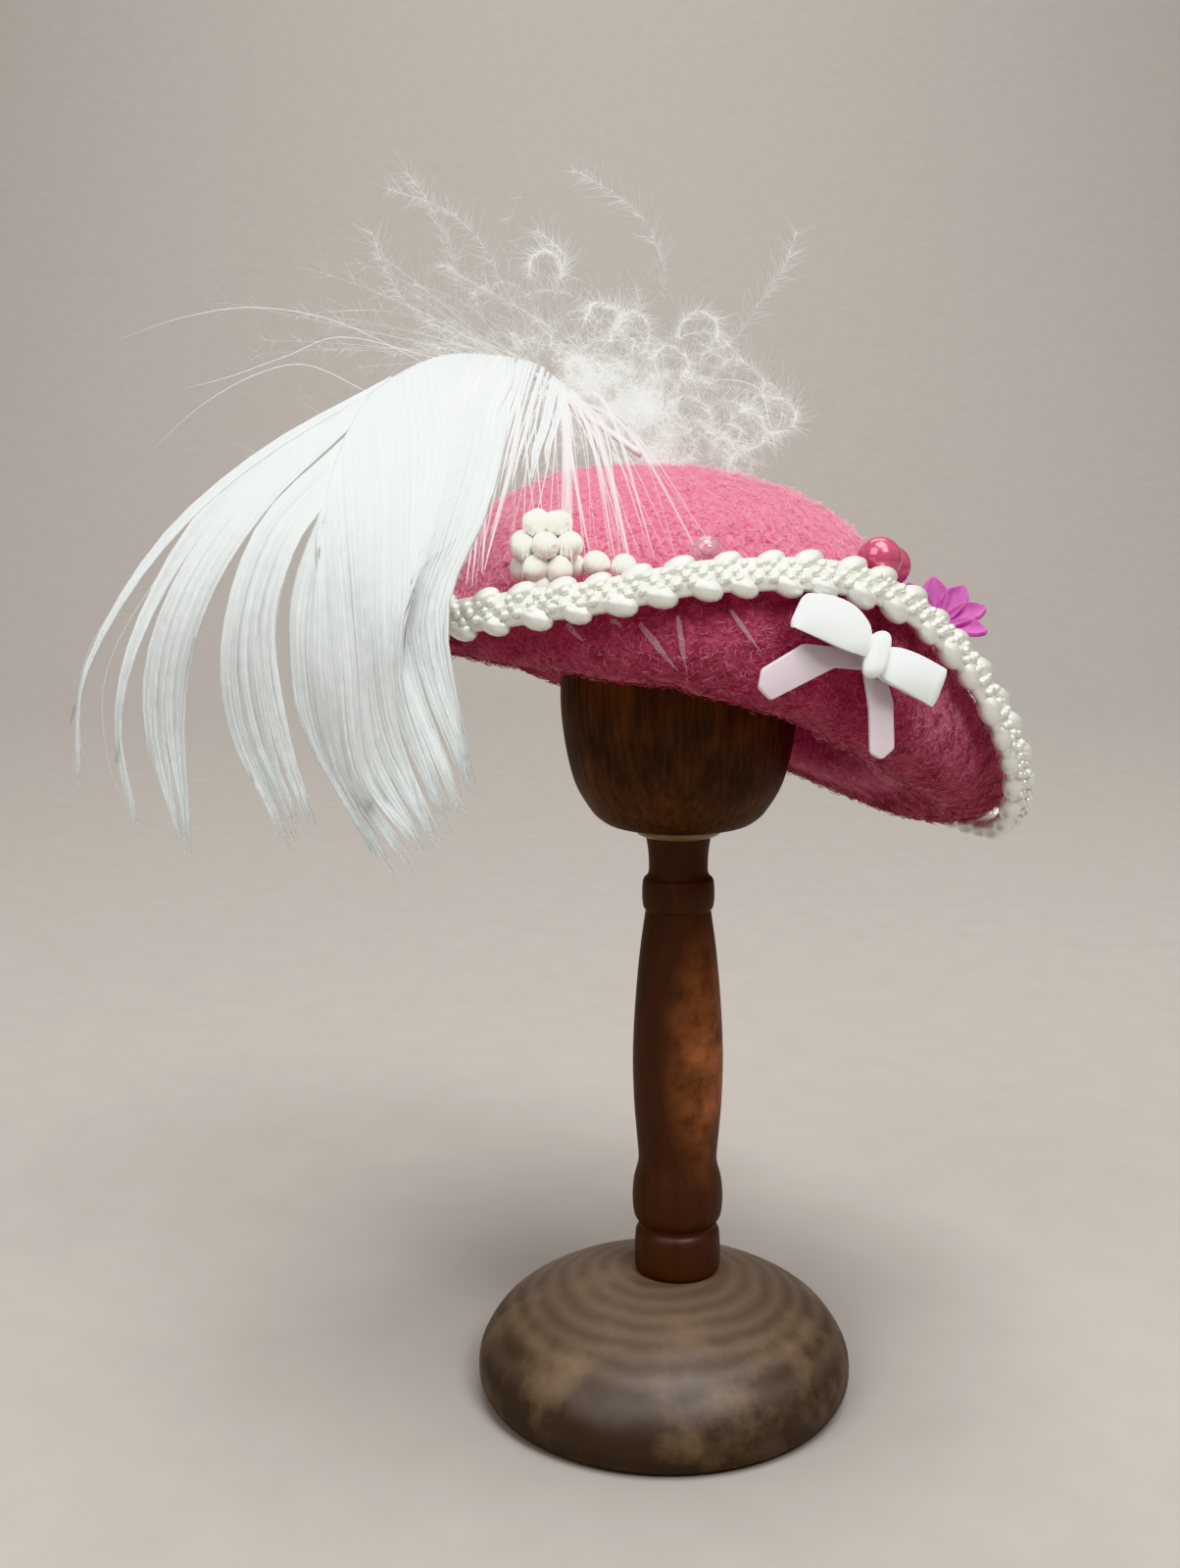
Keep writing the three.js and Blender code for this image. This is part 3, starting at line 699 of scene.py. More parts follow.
def sewn_ovals(name, rng, oval, shift, row, lean):
    """A row of ovals along the braid, at a distance to one side of its middle line and above it."""
    bpy.ops.object.select_all(action="DESELECT")
    bpy.ops.mesh.primitive_uv_sphere_add(segments=oval["segments"], ring_count=oval["rings"], radius=1.0)
    count = oval["in_row"]
    spacing = BRAID_STEPS / count
    place = (np.arange(count) + shift) * spacing + rng.normal(0, 0.08, count) * spacing
    at = place.astype(int) % BRAID_STEPS
    length = unit(along[at] + wide[at] * lean)
    axes = np.stack([length, unit(np.cross(thick[at], length)), thick[at]], 1)
    axes = axes * np.array(oval["halves"])[:, None]
    axes = axes * rng.uniform(0.9, 1.1, (count, 1, 1)) * MM
    centres = line[at] + (wide[at] * row + thick[at] * oval["lift"]) * MM
    return join_ovals(name, bpy.context.object, centres @ HAT_TILT.T + HAT_SEAT, axes @ HAT_TILT.T)


def join_pieces(name, pieces):
    bpy.ops.object.select_all(action="DESELECT")
    for piece in pieces:
        piece.select_set(True)
    bpy.context.view_layer.objects.active = pieces[0]
    bpy.ops.object.join()
    bpy.context.object.name = name
    return bpy.context.object


rng = np.random.default_rng(15)
braid_rows = [
    sewn_ovals("upper_lobes", rng, LOBE, shift=0.0, row=LOBE_AT, lean=LOBE_LEAN),
    sewn_ovals("lower_lobes", rng, LOBE, shift=0.5, row=-LOBE_AT, lean=-LOBE_LEAN),
]
for knot_row in KNOT_ROWS:
    braid_rows.append(sewn_ovals("knots", rng, KNOT, shift=knot_row, row=knot_row, lean=KNOT_LEAN))
tape_line = (line @ HAT_TILT.T + HAT_SEAT)[None, ::3]
tape_radii = np.full(tape_line.shape[:2], TAPE_HALF_WIDTH * MM)
tape_facing = thick[::3] @ HAT_TILT.T
tape = join_strands("tape", tape_line, tape_radii, tape_facing, sides=12, flat=0.5, closed=True)
# Pearl-lacquered rayon: a metallic white lustre that glints on every lobe and greys off round its sides. Its
# spun threads are drawn 0.22 mm wide, coarser than real ones, so that they show.
rayon_cord = blank_material("rayon_satin_pearl_lacquered")
place = add_node(rayon_cord, "ShaderNodeTexCoord", {})
threads = add_node(
    rayon_cord,
    "ShaderNodeTexNoise",
    {"Vector": place.outputs["Object"], "Scale": 1 / (0.22 * MM), "Detail": 3.0, "Distortion": 1.0},
)
tone = add_node(
    rayon_cord,
    "ShaderNodeMixRGB",
    {"Fac": threads.outputs["Fac"], "Color1": linear("#E4E5DC"), "Color2": linear("#F4F5EE")},
)
spun = add_node(
    rayon_cord, "ShaderNodeBump", {"Height": threads.outputs["Fac"], "Strength": 0.1, "Distance": 0.03 * MM}
)
shader = add_node(
    rayon_cord,
    "ShaderNodeBsdfPrincipled",
    {"Base Color": tone.outputs["Color"], "Roughness": 0.42, "Metallic": 0.6,
     "Coat Weight": 0.5, "Coat Roughness": 0.12, "Normal": spun.outputs["Normal"]},
)
add_node(rayon_cord, "ShaderNodeOutputMaterial", {"Surface": shader.outputs["BSDF"]})
braid = join_pieces("gimp_braid", [*braid_rows, tape])
settle(braid, rayon_cord, "braid", "brim_braid")


# A knot of round ivory beads is threaded up behind the braid, with two more beads beside it. Each bead is
# moulded plastic with a pearly glaze and a small hole at both ends.
BEAD_RADIUS = 0.88
CLUSTER_AT = np.array([-8.4, -12.2, 66.0])
# Each round of the knot: its height, its radius, its number of beads and the turn of the first one.
BEAD_ROWS = [(-2.9, 0.9, 3, 20), (-1.5, 1.6, 6, 0), (0, 1.75, 6, 30), (1.5, 1.0, 4, 45)]
BEADS_BESIDE = [(-5.1, -12.6, 64.9), (-3.4, -12.9, 64.6)]
BEAD_HALVES = np.array([[1.0], [1.0], [1.1]])
bead_places = [np.array(beside) for beside in BEADS_BESIDE]
for row_height, row_radius, row_count, row_turn in BEAD_ROWS:
    for i in range(row_count):
        angle = math.radians(row_turn + 360 * i / row_count)
        offset = np.array([row_radius * math.cos(angle), row_radius * math.sin(angle), row_height])
        bead_places.append(CLUSTER_AT + offset)


def bored_ball(name, radius, segments, rings):
    """A ball at the origin whose poles are pushed in where its thread runs through."""
    bpy.ops.object.select_all(action="DESELECT")
    bpy.ops.mesh.primitive_uv_sphere_add(segments=segments, ring_count=rings, radius=radius)
    ball = bpy.context.object
    ball.name = name
    for vertex in ball.data.vertices:
        if abs(vertex.co.z) > 0.985 * radius:
            vertex.co.z *= 0.8
    bpy.ops.object.shade_smooth()
    return ball


rng = np.random.default_rng(21)
bead_places = np.array(bead_places) + rng.normal(0, 0.1, (len(bead_places), 3))
bead_axes = []
while len(bead_axes) < len(bead_places):
    turn = np.array(Matrix.Rotation(rng.random() * 6.3, 3, Vector(rng.normal(size=3))))
    bead_axes.append(turn * BEAD_HALVES * (0.95 + 0.12 * rng.random()) * BEAD_RADIUS)
bead_ball = bored_ball("bead", radius=1.0, segments=24, rings=16)
beads = join_ovals("ivory_beads", bead_ball, bead_places * MM, np.array(bead_axes) * MM)
# Glazed plastic bead: creamy white, a soft shine and a faint cloudiness under the glaze.
ivory_glaze = blank_material("plastic_bead_ivory_glaze")
place = add_node(ivory_glaze, "ShaderNodeTexCoord", {})
cloud = add_node(
    ivory_glaze,
    "ShaderNodeTexNoise",
    {"Vector": place.outputs["Object"], "Scale": 1 / (1.5 * MM), "Detail": 3.0},
)
tone = add_node(
    ivory_glaze,
    "ShaderNodeMixRGB",
    {"Fac": cloud.outputs["Fac"], "Color1": linear("#EEEFE2"), "Color2": linear("#FAFBF1")},
)
shader = add_node(
    ivory_glaze,
    "ShaderNodeBsdfPrincipled",
    {"Base Color": tone.outputs["Color"], "Roughness": 0.32, "Subsurface Weight": 0.25,
     "Subsurface Radius": (1.0, 0.8, 0.6), "Subsurface Scale": 0.6 * MM, "Coat Weight": 0.3,
     "Coat Roughness": 0.15},
)
add_node(ivory_glaze, "ShaderNodeOutputMaterial", {"Surface": shader.outputs["BSDF"]})
settle(beads, ivory_glaze, "bead", "bead_cluster")


# Three pink glass beads: a small clear one is sewn on the crown's front just behind the braid, and at the
# right a pearly one is sewn on the brim's edge and another on the side of the crown.
LACQUER = 0.03
pearls = []
for pearl_node in ("pearl_front", "pearl_side", "pearl_back"):
    low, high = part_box(pearl_node)
    pearl_name = pearl_node.replace("pearl", "bead_pink")
    pearl = bored_ball(pearl_name, radius=(high.x - low.x) / 2 + LACQUER * MM, segments=40, rings=28)
    pearl.location = (low + high) / 2
    pearl.rotation_euler = (0.3, 1.2, 0.4)
    bpy.ops.object.transform_apply(location=True, rotation=True, scale=True)
    pearls.append(pearl)
# Pearl-lacquered bead: warm pink with a hard gloss coat and a slow drift of tone.
pink_lustre = blank_material("glass_bead_pink_lustre")
place = add_node(pink_lustre, "ShaderNodeTexCoord", {})
drift = add_node(
    pink_lustre,
    "ShaderNodeTexNoise",
    {"Vector": place.outputs["Object"], "Scale": 1 / (2 * MM), "Detail": 2.0},
)
tone = add_node(
    pink_lustre,
    "ShaderNodeMixRGB",
    {"Fac": drift.outputs["Fac"], "Color1": linear("#B43C5E"), "Color2": linear("#DE7490")},
)
shader = add_node(
    pink_lustre,
    "ShaderNodeBsdfPrincipled",
    {"Base Color": tone.outputs["Color"], "Roughness": 0.22, "Metallic": 0.25, "Coat Weight": 1.0,
     "Coat Roughness": 0.03, "Transmission Weight": 0.2},
)
add_node(pink_lustre, "ShaderNodeOutputMaterial", {"Surface": shader.outputs["BSDF"]})
# Clear glass bead: the palest rose, showing the pink felt behind it, with sharp highlights.
clear_glass = blank_material("glass_bead_clear_rose")
place = add_node(clear_glass, "ShaderNodeTexCoord", {})
tint = add_node(
    clear_glass, "ShaderNodeTexNoise", {"Vector": place.outputs["Object"], "Scale": 1 / (1.5 * MM)}
)
tone = add_node(
    clear_glass,
    "ShaderNodeMixRGB",
    {"Fac": tint.outputs["Fac"], "Color1": linear("#F2DCE2"), "Color2": linear("#FCF4F6")},
)
shader = add_node(
    clear_glass,
    "ShaderNodeBsdfPrincipled",
    {"Base Color": tone.outputs["Color"], "Roughness": 0.03, "Transmission Weight": 0.85, "IOR": 1.5,
     "Coat Weight": 1.0, "Coat Roughness": 0.06},
)
add_node(clear_glass, "ShaderNodeOutputMaterial", {"Surface": shader.outputs["BSDF"]})
settle(pearls[0], clear_glass, "pearl", "pearl_front")
settle(pearls[1], pink_lustre, "pearl", "pearl_side")
settle(pearls[2], pink_lustre, "pearl", "pearl_back")


# The bow is tied from a narrow frosted ribbon: two folded loops, two tails with clipped corners and a knot
# drawn tight over them. It is stitched to the cocked brim.
BOW_AT = np.array([12.2, -17.1, 58.9])
BOW_TURN = Matrix.Rotation(math.radians(22), 3, "Z") @ Matrix.Rotation(math.radians(84), 3, "X")
RIBBON_WALL = 0.34
RIBBON_ROUNDING = 0.1
ROWS_TO_FOLD = 15
POINTS_ACROSS = 11
# The upper and the lower edge of each loop, from the knot out to the fold.
BOW_LOOPS = [
    (
        [(-0.35, 1.0), (-0.75, 2.0), (-1.7, 3.05), (-3.0, 3.7), (-4.3, 3.9)],
        [(-0.45, 0.0), (-1.4, 0.05), (-2.7, 0.5), (-4.1, 1.15), (-5.5, 1.8)],
    ),
    (
        [(0.9, 0.35), (1.6, 0.3), (2.8, -0.1), (4.0, -0.6), (5.2, -1.1)],
        [(0.3, -1.2), (0.7, -1.75), (1.7, -2.3), (2.8, -2.85), (4.0, -3.4)],
    ),
]
BOW_TAILS = [
    [(0.3, 0.3), (-4.6, 0.9), (-7.9, -0.6), (-8.25, -1.8), (-7.4, -2.6), (-2.3, -0.7), (0.3, -1.0)],
    [(-0.4, 0.3), (0.05, -3.4), (-0.2, -6.3), (0.6, -6.75), (1.6, -6.1), (1.85, -3.0), (0.9, 0.2)],
]


def to_bow_place(points):
    return (np.asarray(points, float) @ np.array(BOW_TURN).T + BOW_AT) * MM


def give_wall(piece, wall, rounding_width, rounding_segments):
    bpy.ops.object.select_all(action="DESELECT")
    piece.select_set(True)
    bpy.context.view_layer.objects.active = piece
    solid = piece.modifiers.new("wall", "SOLIDIFY")
    solid.thickness = wall * MM
    solid.offset = 0
    bpy.ops.object.modifier_apply(modifier=solid.name)
    rounded = piece.modifiers.new("rounding", "BEVEL")
    rounded.width = rounding_width * MM
    rounded.segments = rounding_segments
    rounded.limit_method = "ANGLE"
    rounded.angle_limit = math.radians(50)
    bpy.ops.object.modifier_apply(modifier=rounded.name)
    bpy.ops.object.shade_smooth_by_angle(angle=math.radians(60))


def grid_faces(rows, columns):
    corner = np.arange(rows * columns).reshape(rows, columns)
    quads = np.stack([corner[:-1, :-1], corner[:-1, 1:], corner[1:, 1:], corner[1:, :-1]], -1)
    return quads.reshape(-1, 4).tolist()


loops_and_knot = []
side = np.linspace(0, 1, POINTS_ACROSS)[None, :, None]
middle = 2 * side - 1
out_share = np.linspace(0, 1, ROWS_TO_FOLD)[:, None]
fold_turn = np.linspace(0, math.pi, 9)[1:-1, None, None]
for upper_edge, lower_edge in BOW_LOOPS:
    upper = smooth_line(upper_edge, ROWS_TO_FOLD)[:, None]
    lower = smooth_line(lower_edge, ROWS_TO_FOLD)[:, None]
    front = lower + (upper - lower) * side
    back = (lower + upper) / 2 + (upper - lower) * 0.42 * middle
    outwards = unit(front[-1].mean(0) - front[-2].mean(0))
    fold = front[-1] + (back[-1] - front[-1]) * fold_turn / math.pi
    fold = fold + outwards * 0.3 * np.sin(fold_turn) * (1 - 0.6 * middle**6)
    flat = np.concatenate([front, fold, back[::-1]])
    # The front of a loop stands off the brim and swells in its middle, and the back lies close.
    front_depth = 1.25 + 0.55 * np.sin(math.pi * out_share**0.8) - 0.2 * middle[..., 0] ** 2
    fold_depth = 0.75 + 0.3 * np.cos(fold_turn[..., 0]) * np.ones((1, POINTS_ACROSS))
    back_depth = np.full((ROWS_TO_FOLD, POINTS_ACROSS), 0.45)
    depth = np.concatenate([front_depth, fold_depth, back_depth])
    sheet = np.concatenate([flat, depth[..., None]], axis=2).reshape(-1, 3)
    piece = mesh_piece("bow_loop", to_bow_place(sheet), grid_faces(len(flat), POINTS_ACROSS))
    give_wall(piece, RIBBON_WALL, RIBBON_ROUNDING, 3)
    loops_and_knot.append(piece)
tails = []
for outline in BOW_TAILS:
    outline = np.array(outline)
    flat = np.concatenate([outline, np.zeros((len(outline), 1))], axis=1)
    flat[:, 2] = -0.1 + 0.012 * (outline**2).sum(1)
    piece = mesh_piece("bow_tail", to_bow_place(flat), [list(range(len(outline)))])
    bpy.ops.object.select_all(action="DESELECT")
    bpy.context.view_layer.objects.active = piece
    bpy.ops.object.mode_set(mode="EDIT")
    bpy.ops.mesh.select_all(action="SELECT")
    bpy.ops.mesh.bevel(offset=0.2 * MM, segments=3, affect="VERTICES")
    bpy.ops.object.mode_set(mode="OBJECT")
    give_wall(piece, RIBBON_WALL, RIBBON_ROUNDING, 3)
    tails.append(piece)
bpy.ops.object.select_all(action="DESELECT")
bpy.ops.mesh.primitive_uv_sphere_add(segments=48, ring_count=24, radius=1.0)
knot = bpy.context.object
# The knot is a ball that is drawn in round its waist, with six soft pleats.
knot_points = np.array([vertex.co for vertex in knot.data.vertices])
around = np.arctan2(knot_points[:, 1], knot_points[:, 0])
waist = 0.8 + 0.3 * knot_points[:, 2] ** 2
knot_points[:, :2] *= (waist * (1 + 0.04 * np.cos(6 * around)))[:, None]
across, deep, tall = (knot_points * [1.1, 0.85, 1.5]).T
knot_points = np.stack([across + 0.28 * tall, tall, deep + 1.35], 1)
knot.data.vertices.foreach_set("co", to_bow_place(knot_points).ravel())
bpy.ops.object.mode_set(mode="EDIT")
bpy.ops.mesh.select_all(action="SELECT")
bpy.ops.mesh.normals_make_consistent(inside=False)
bpy.ops.object.mode_set(mode="OBJECT")
bpy.ops.object.shade_smooth()
loops_and_knot.append(knot)
bow = join_pieces("ribbon_bow", loops_and_knot)
bow_tails = join_pieces("ribbon_bow_tails", tails)
# Frosted ribbon: milky and softly shining, with a weave 0.15 mm fine. It is paler where it is doubled, and
# the single tails let the pink through, and are tinted pink as well: painted light from the felt behind
# them.
for piece, cad_nodes, ribbon_name, ribbon_alpha, ribbon_dark, ribbon_light in (
    (bow, ["bow"], "ribbon_frosted_double", 1.0, "#DCE2E0", "#EEF2F0"),
    # The tails' pink tint is painted light from the felt behind them.
    (bow_tails, [], "ribbon_frosted_single", 0.66, "#D2C6CC", "#E6DEE2"),
):
    frosted = blank_material(ribbon_name)
    place = add_node(frosted, "ShaderNodeTexCoord", {})
    haze = add_node(
        frosted,
        "ShaderNodeTexNoise",
        {"Vector": place.outputs["Object"], "Scale": 1 / (2 * MM), "Detail": 3.0},
    )
    tone = add_node(
        frosted,
        "ShaderNodeMixRGB",
        {"Fac": haze.outputs["Fac"], "Color1": linear(ribbon_dark), "Color2": linear(ribbon_light)},
    )
    weave = add_node(
        frosted, "ShaderNodeTexNoise", {"Vector": place.outputs["Object"], "Scale": 1 / (0.15 * MM)}
    )
    frost = add_node(
        frosted, "ShaderNodeBump", {"Height": weave.outputs["Fac"], "Strength": 0.08, "Distance": 0.02 * MM}
    )
    shader = add_node(
        frosted,
        "ShaderNodeBsdfPrincipled",
        {"Base Color": tone.outputs["Color"], "Roughness": 0.42, "Alpha": ribbon_alpha,
         "Subsurface Weight": 0.3, "Subsurface Radius": (1.0, 0.9, 0.9), "Subsurface Scale": 0.5 * MM,
         "Sheen Weight": 0.15, "Normal": frost.outputs["Normal"]},
    )
    add_node(frosted, "ShaderNodeOutputMaterial", {"Surface": shader.outputs["BSDF"]})
    settle(piece, frosted, "bow", *cad_nodes)


# A small magenta flower of cupped cloth petals nods towards the viewer behind the braid at the right. Its
# short stalk leans back and is sewn to the crown.
FLOWER_AT = np.array([18.9, -6.2, 60.1])
FLOWER_NOD = np.array(Matrix.Rotation(math.radians(10), 3, "Y") @ Matrix.Rotation(math.radians(45), 3, "X"))
STALK_LEAN = math.radians(60)
STALK_LENGTH = 3.1
STALK_RADIUS = 0.5
PETALS = 9
PETAL_LENGTH = 3.7
PETAL_HALF_WIDTH = 0.8
PETAL_RISE = math.radians(25)
PETAL_WALL = 0.3
PETAL_ROWS = 15
PETAL_COLUMNS = 9
EYE_RADIUS = 1.0
t = np.linspace(0.08, 1, PETAL_ROWS)[:, None]
side = np.linspace(-1, 1, PETAL_COLUMNS)[None, :]
half = PETAL_HALF_WIDTH * np.sin(math.pi * np.minimum(t, 0.985) ** 1.3) ** 0.6 + 0.2 * (1 - t)
out = PETAL_LENGTH * t * np.cos(PETAL_RISE) * np.ones_like(side)
lift = PETAL_LENGTH * np.sin(PETAL_RISE) * t**1.3 + 0.7 * (side * half) ** 2
petal_sheet = np.stack([out, half * side, lift], -1).reshape(-1, 3)
petals = []
for i in range(PETALS):
    petal_turn = np.array(Matrix.Rotation(2 * math.pi * (i + 0.5) / PETALS, 3, "Z"))
    petal_points = petal_sheet @ petal_turn.T @ FLOWER_NOD.T + FLOWER_AT
    piece = mesh_piece("petal", petal_points * MM, grid_faces(PETAL_ROWS, PETAL_COLUMNS))
    give_wall(piece, PETAL_WALL, 0.1, 2)
    petals.append(piece)
bpy.ops.object.select_all(action="DESELECT")
bpy.ops.mesh.primitive_ico_sphere_add(subdivisions=3, radius=EYE_RADIUS * MM, location=FLOWER_AT * MM)
eye = bpy.context.object
bpy.ops.object.transform_apply(location=True, rotation=True, scale=True)
bpy.ops.object.shade_smooth()
stalk_way = np.array([-math.sin(STALK_LEAN), 0, -math.cos(STALK_LEAN)])
stalk_line = (FLOWER_AT + stalk_way * np.linspace(0, STALK_LENGTH, 7)[:, None])[None] * MM
stalk_radii = np.full((1, 7), STALK_RADIUS * MM)
stalk = join_strands("stalk", stalk_line, stalk_radii, np.array([0.0, 1.0, 0.0]), sides=16)
flower = join_pieces("cloth_flower", [*petals, eye, stalk])
# Stiffened cloth, dyed magenta: matt with a velvety edge, its dye uneven in patches about 0.6 mm across.
magenta_cloth = blank_material("stiffened_cloth_magenta")
place = add_node(magenta_cloth, "ShaderNodeTexCoord", {})
dye = add_node(
    magenta_cloth,
    "ShaderNodeTexNoise",
    {"Vector": place.outputs["Object"], "Scale": 1 / (0.6 * MM), "Detail": 4.0, "Roughness": 0.6},
)
tone = add_node(
    magenta_cloth,
    "ShaderNodeMixRGB",
    {"Fac": dye.outputs["Fac"], "Color1": linear("#8C3478"), "Color2": linear("#BC66A6")},
)
nap = add_node(
    magenta_cloth, "ShaderNodeBump", {"Height": dye.outputs["Fac"], "Strength": 0.3, "Distance": 0.08 * MM}
)
shader = add_node(
    magenta_cloth,
    "ShaderNodeBsdfPrincipled",
    {"Base Color": tone.outputs["Color"], "Roughness": 0.7, "Sheen Weight": 0.4,
     "Sheen Tint": linear("#FFC0F0"), "Normal": nap.outputs["Normal"]},
)
add_node(magenta_cloth, "ShaderNodeOutputMaterial", {"Surface": shader.outputs["BSDF"]})
settle(flower, magenta_cloth, "flower", "flower")


# The feather is a white hackle. Its shaft is glued on the crown, arches out over the left end of the hat
# and turns down. Its barbs have parted into long pointed locks, held together by the web of their hooks.
SHAFT_LINE = [
    (-1.7, -0.5, 72.4), (-5.6, 0.0, 75.2), (-8.4, -1.8, 77.3), (-11.0, -4.2, 78.5), (-14.9, -7.3, 78.3),
    (-17.0, -9.7, 77.3), (-18.9, -12.0, 75.7), (-20.4, -14.1, 73.3), (-21.3, -15.9, 70.6),
]
BARB_POINTS = 16
BARB_SIDES = 4
BARB_HALF_WIDTH = 0.16
SHEET_STEPS = 400
# Each sheet of the vane: its number of barbs, the tufts that their tips gather in, the rows of the fine web
# that backs them, and its guide barbs, from root to tip.
VANE_SHEETS = [
    {"barbs": 16, "tufts": 6, "web_rows": None, "guides": [
        [(-11, -4.5, 79), (-11, -8, 77), (-12, -11.5, 74.5), (-12.5, -13.5, 71.5), (-13, -15, 69)],
        [(-9, -3.5, 78.5), (-9.5, -6.5, 76.5), (-10, -9, 74), (-10.5, -11, 72), (-11, -12.5, 69.5)],
        [(-7, -2, 77), (-7, -4, 76), (-7.5, -6, 74), (-8, -8, 72.5), (-8, -9, 71)],
    ]},
    {"barbs": 300, "tufts": 7, "web_rows": slice(0, 31), "guides": [
        [(-22, -18, 69), (-24, -18.5, 64), (-24.5, -18.5, 60), (-24, -18, 54.5), (-20, -17, 46)],
        [(-22.5, -18.5, 67), (-22.5, -19, 62), (-22.5, -19, 57.5), (-21.5, -18, 51.5), (-18.5, -17.5, 46.5)],
        [(-21.5, -16.5, 71.5), (-21, -19, 66), (-20.5, -19.5, 59), (-20, -19, 52), (-17, -18, 47)],
        [(-20, -13.5, 75.3), (-19, -18.5, 68.5), (-19, -20, 61), (-18.5, -19, 54.5), (-16, -18.5, 48)],
        [(-18, -11, 77.3), (-17, -16.5, 71.5), (-17, -19.5, 63.5), (-17.5, -19.5, 57.5), (-15, -18.5, 49.5)],
        [(-15, -8, 78.8), (-14, -14.5, 73), (-15.5, -18.5, 66), (-17, -19, 59.5), (-14, -18.5, 50.5)],
        [(-11, -4.5, 79), (-11, -11, 74), (-12, -16, 68.5), (-14.5, -18.5, 62), (-13, -18, 52)],
    ]},
    {"barbs": 60, "tufts": 3, "web_rows": slice(8, 31), "guides": [
        [(-21, -15.5, 73), (-26.5, -17, 67.5), (-29, -17.5, 60.5), (-29, -16.5, 54), (-26.5, -16, 47.5)],
        [(-22, -17.5, 69), (-24, -18.5, 66), (-25.5, -18.5, 61), (-25, -18, 55), (-23.5, -17, 48.5)],
    ]},
    {"barbs": 52, "tufts": 2, "web_rows": slice(8, 31), "guides": [
        [(-19.5, -12.5, 76), (-28, -15.5, 69.5), (-33, -16, 62.5), (-35, -15, 55), (-33.5, -14, 47)],
        [(-21, -15, 73.5), (-26, -17, 68.5), (-30, -17, 62.5), (-32, -16, 56), (-32, -15, 47)],
    ]},
    {"barbs": 16, "tufts": 2, "web_rows": slice(8, 31), "guides": [
        [(-19, -12.5, 76.5), (-29, -15, 70), (-34.5, -15, 62.5), (-37, -14.5, 55), (-36.5, -13.5, 48)],
        [(-19.5, -12.5, 76), (-28, -15.5, 69.5), (-33.5, -15.5, 62.5), (-36.5, -15, 55), (-36, -13.5, 47)],
    ]},
    {"barbs": 16, "tufts": 2, "web_rows": slice(8, 31), "guides": [
        [(-18.5, -12, 77), (-27, -14.5, 72), (-34, -14.5, 66), (-39, -14, 58), (-40.5, -13, 50)],
        [(-19, -12.5, 76.5), (-27.5, -15, 71), (-34, -15, 65), (-39, -14, 57.5), (-40, -13, 51)],
    ]},
]


def facing_out(sheet):
    """The normals of a sheet of points, on the side that faces up and to the front."""
    normals = unit(np.cross(np.gradient(sheet, axis=0), np.gradient(sheet, axis=1)))
    return normals * np.sign(normals @ [-0.1, -0.8, 0.6])[..., None]


# The web ends a little short of its sheet's last barb.
WEB_COLUMNS = slice(0, 377, 8)
WEB_POINTS = 40
WEB_WALL = 0.06
rng = np.random.default_rng(31)
barb_paths = []
barb_facing = []
webs = []
for vane_sheet in VANE_SHEETS:
    count = vane_sheet["barbs"]
    tufts = vane_sheet["tufts"]
    share = np.sort((np.arange(count) + rng.random(count)) / count)
    sheet = smooth_line(vane_sheet["guides"], SHEET_STEPS)
    lies_at = (share * (SHEET_STEPS - 1)).astype(int)
    barb = sheet[lies_at]
    facing = facing_out(smooth_line(sheet.transpose(1, 0, 2), BARB_POINTS))[:, lies_at]
    barb_facing.append(facing.transpose(1, 0, 2))
    # The tips of a tuft draw together, and no two of its barbs end at the same length.
    tuft = sheet[((np.floor(share * tufts) + 0.5) / tufts * (SHEET_STEPS - 1)).astype(int)]
    barb[:, 3] += 0.06 * (tuft[:, 3] - barb[:, 3])
    barb[:, 4] += 0.5 * (tuft[:, 4] - barb[:, 4])
    barb[:, 4] += unit(barb[:, 4] - barb[:, 3]) * rng.normal(0, 0.8, (count, 1))
    barb[:, 1:] += rng.normal(0, 0.02, (count, 4, 3)) * [[0.3], [0.6], [1.5], [6.0]]
    barb_paths.append(smooth_line(barb.transpose(1, 0, 2), BARB_POINTS).transpose(1, 0, 2))
    if vane_sheet["web_rows"] is None:
        continue
    web = smooth_line(sheet[WEB_COLUMNS].transpose(1, 0, 2), WEB_POINTS)[vane_sheet["web_rows"]]
    web = web - facing_out(web) * 0.1
    # The free end of the web is ragged.
    web[-1] += unit(web[-1] - web[-2]) * rng.uniform(0, 3.0, (web.shape[1], 1))
    web_piece = mesh_piece("web", web.reshape(-1, 3) * MM, grid_faces(*web.shape[:2]))
    give_wall(web_piece, WEB_WALL, 0.01, 1)
    webs.append(web_piece)
web = join_pieces("feather_web", webs)
barb_paths = np.concatenate(barb_paths) * MM
barb_facing = np.concatenate(barb_facing)
t = np.linspace(0, 1, BARB_POINTS)
barb_half_width = BARB_HALF_WIDTH * np.minimum(1, 3.0 * (1 - t) + 0.1)
barb_radii = barb_half_width[None] * MM * rng.uniform(0.75, 1.15, (len(barb_paths), 1))
barbs = join_strands("feather_barbs", barb_paths, barb_radii, barb_facing, sides=BARB_SIDES, flat=0.4)
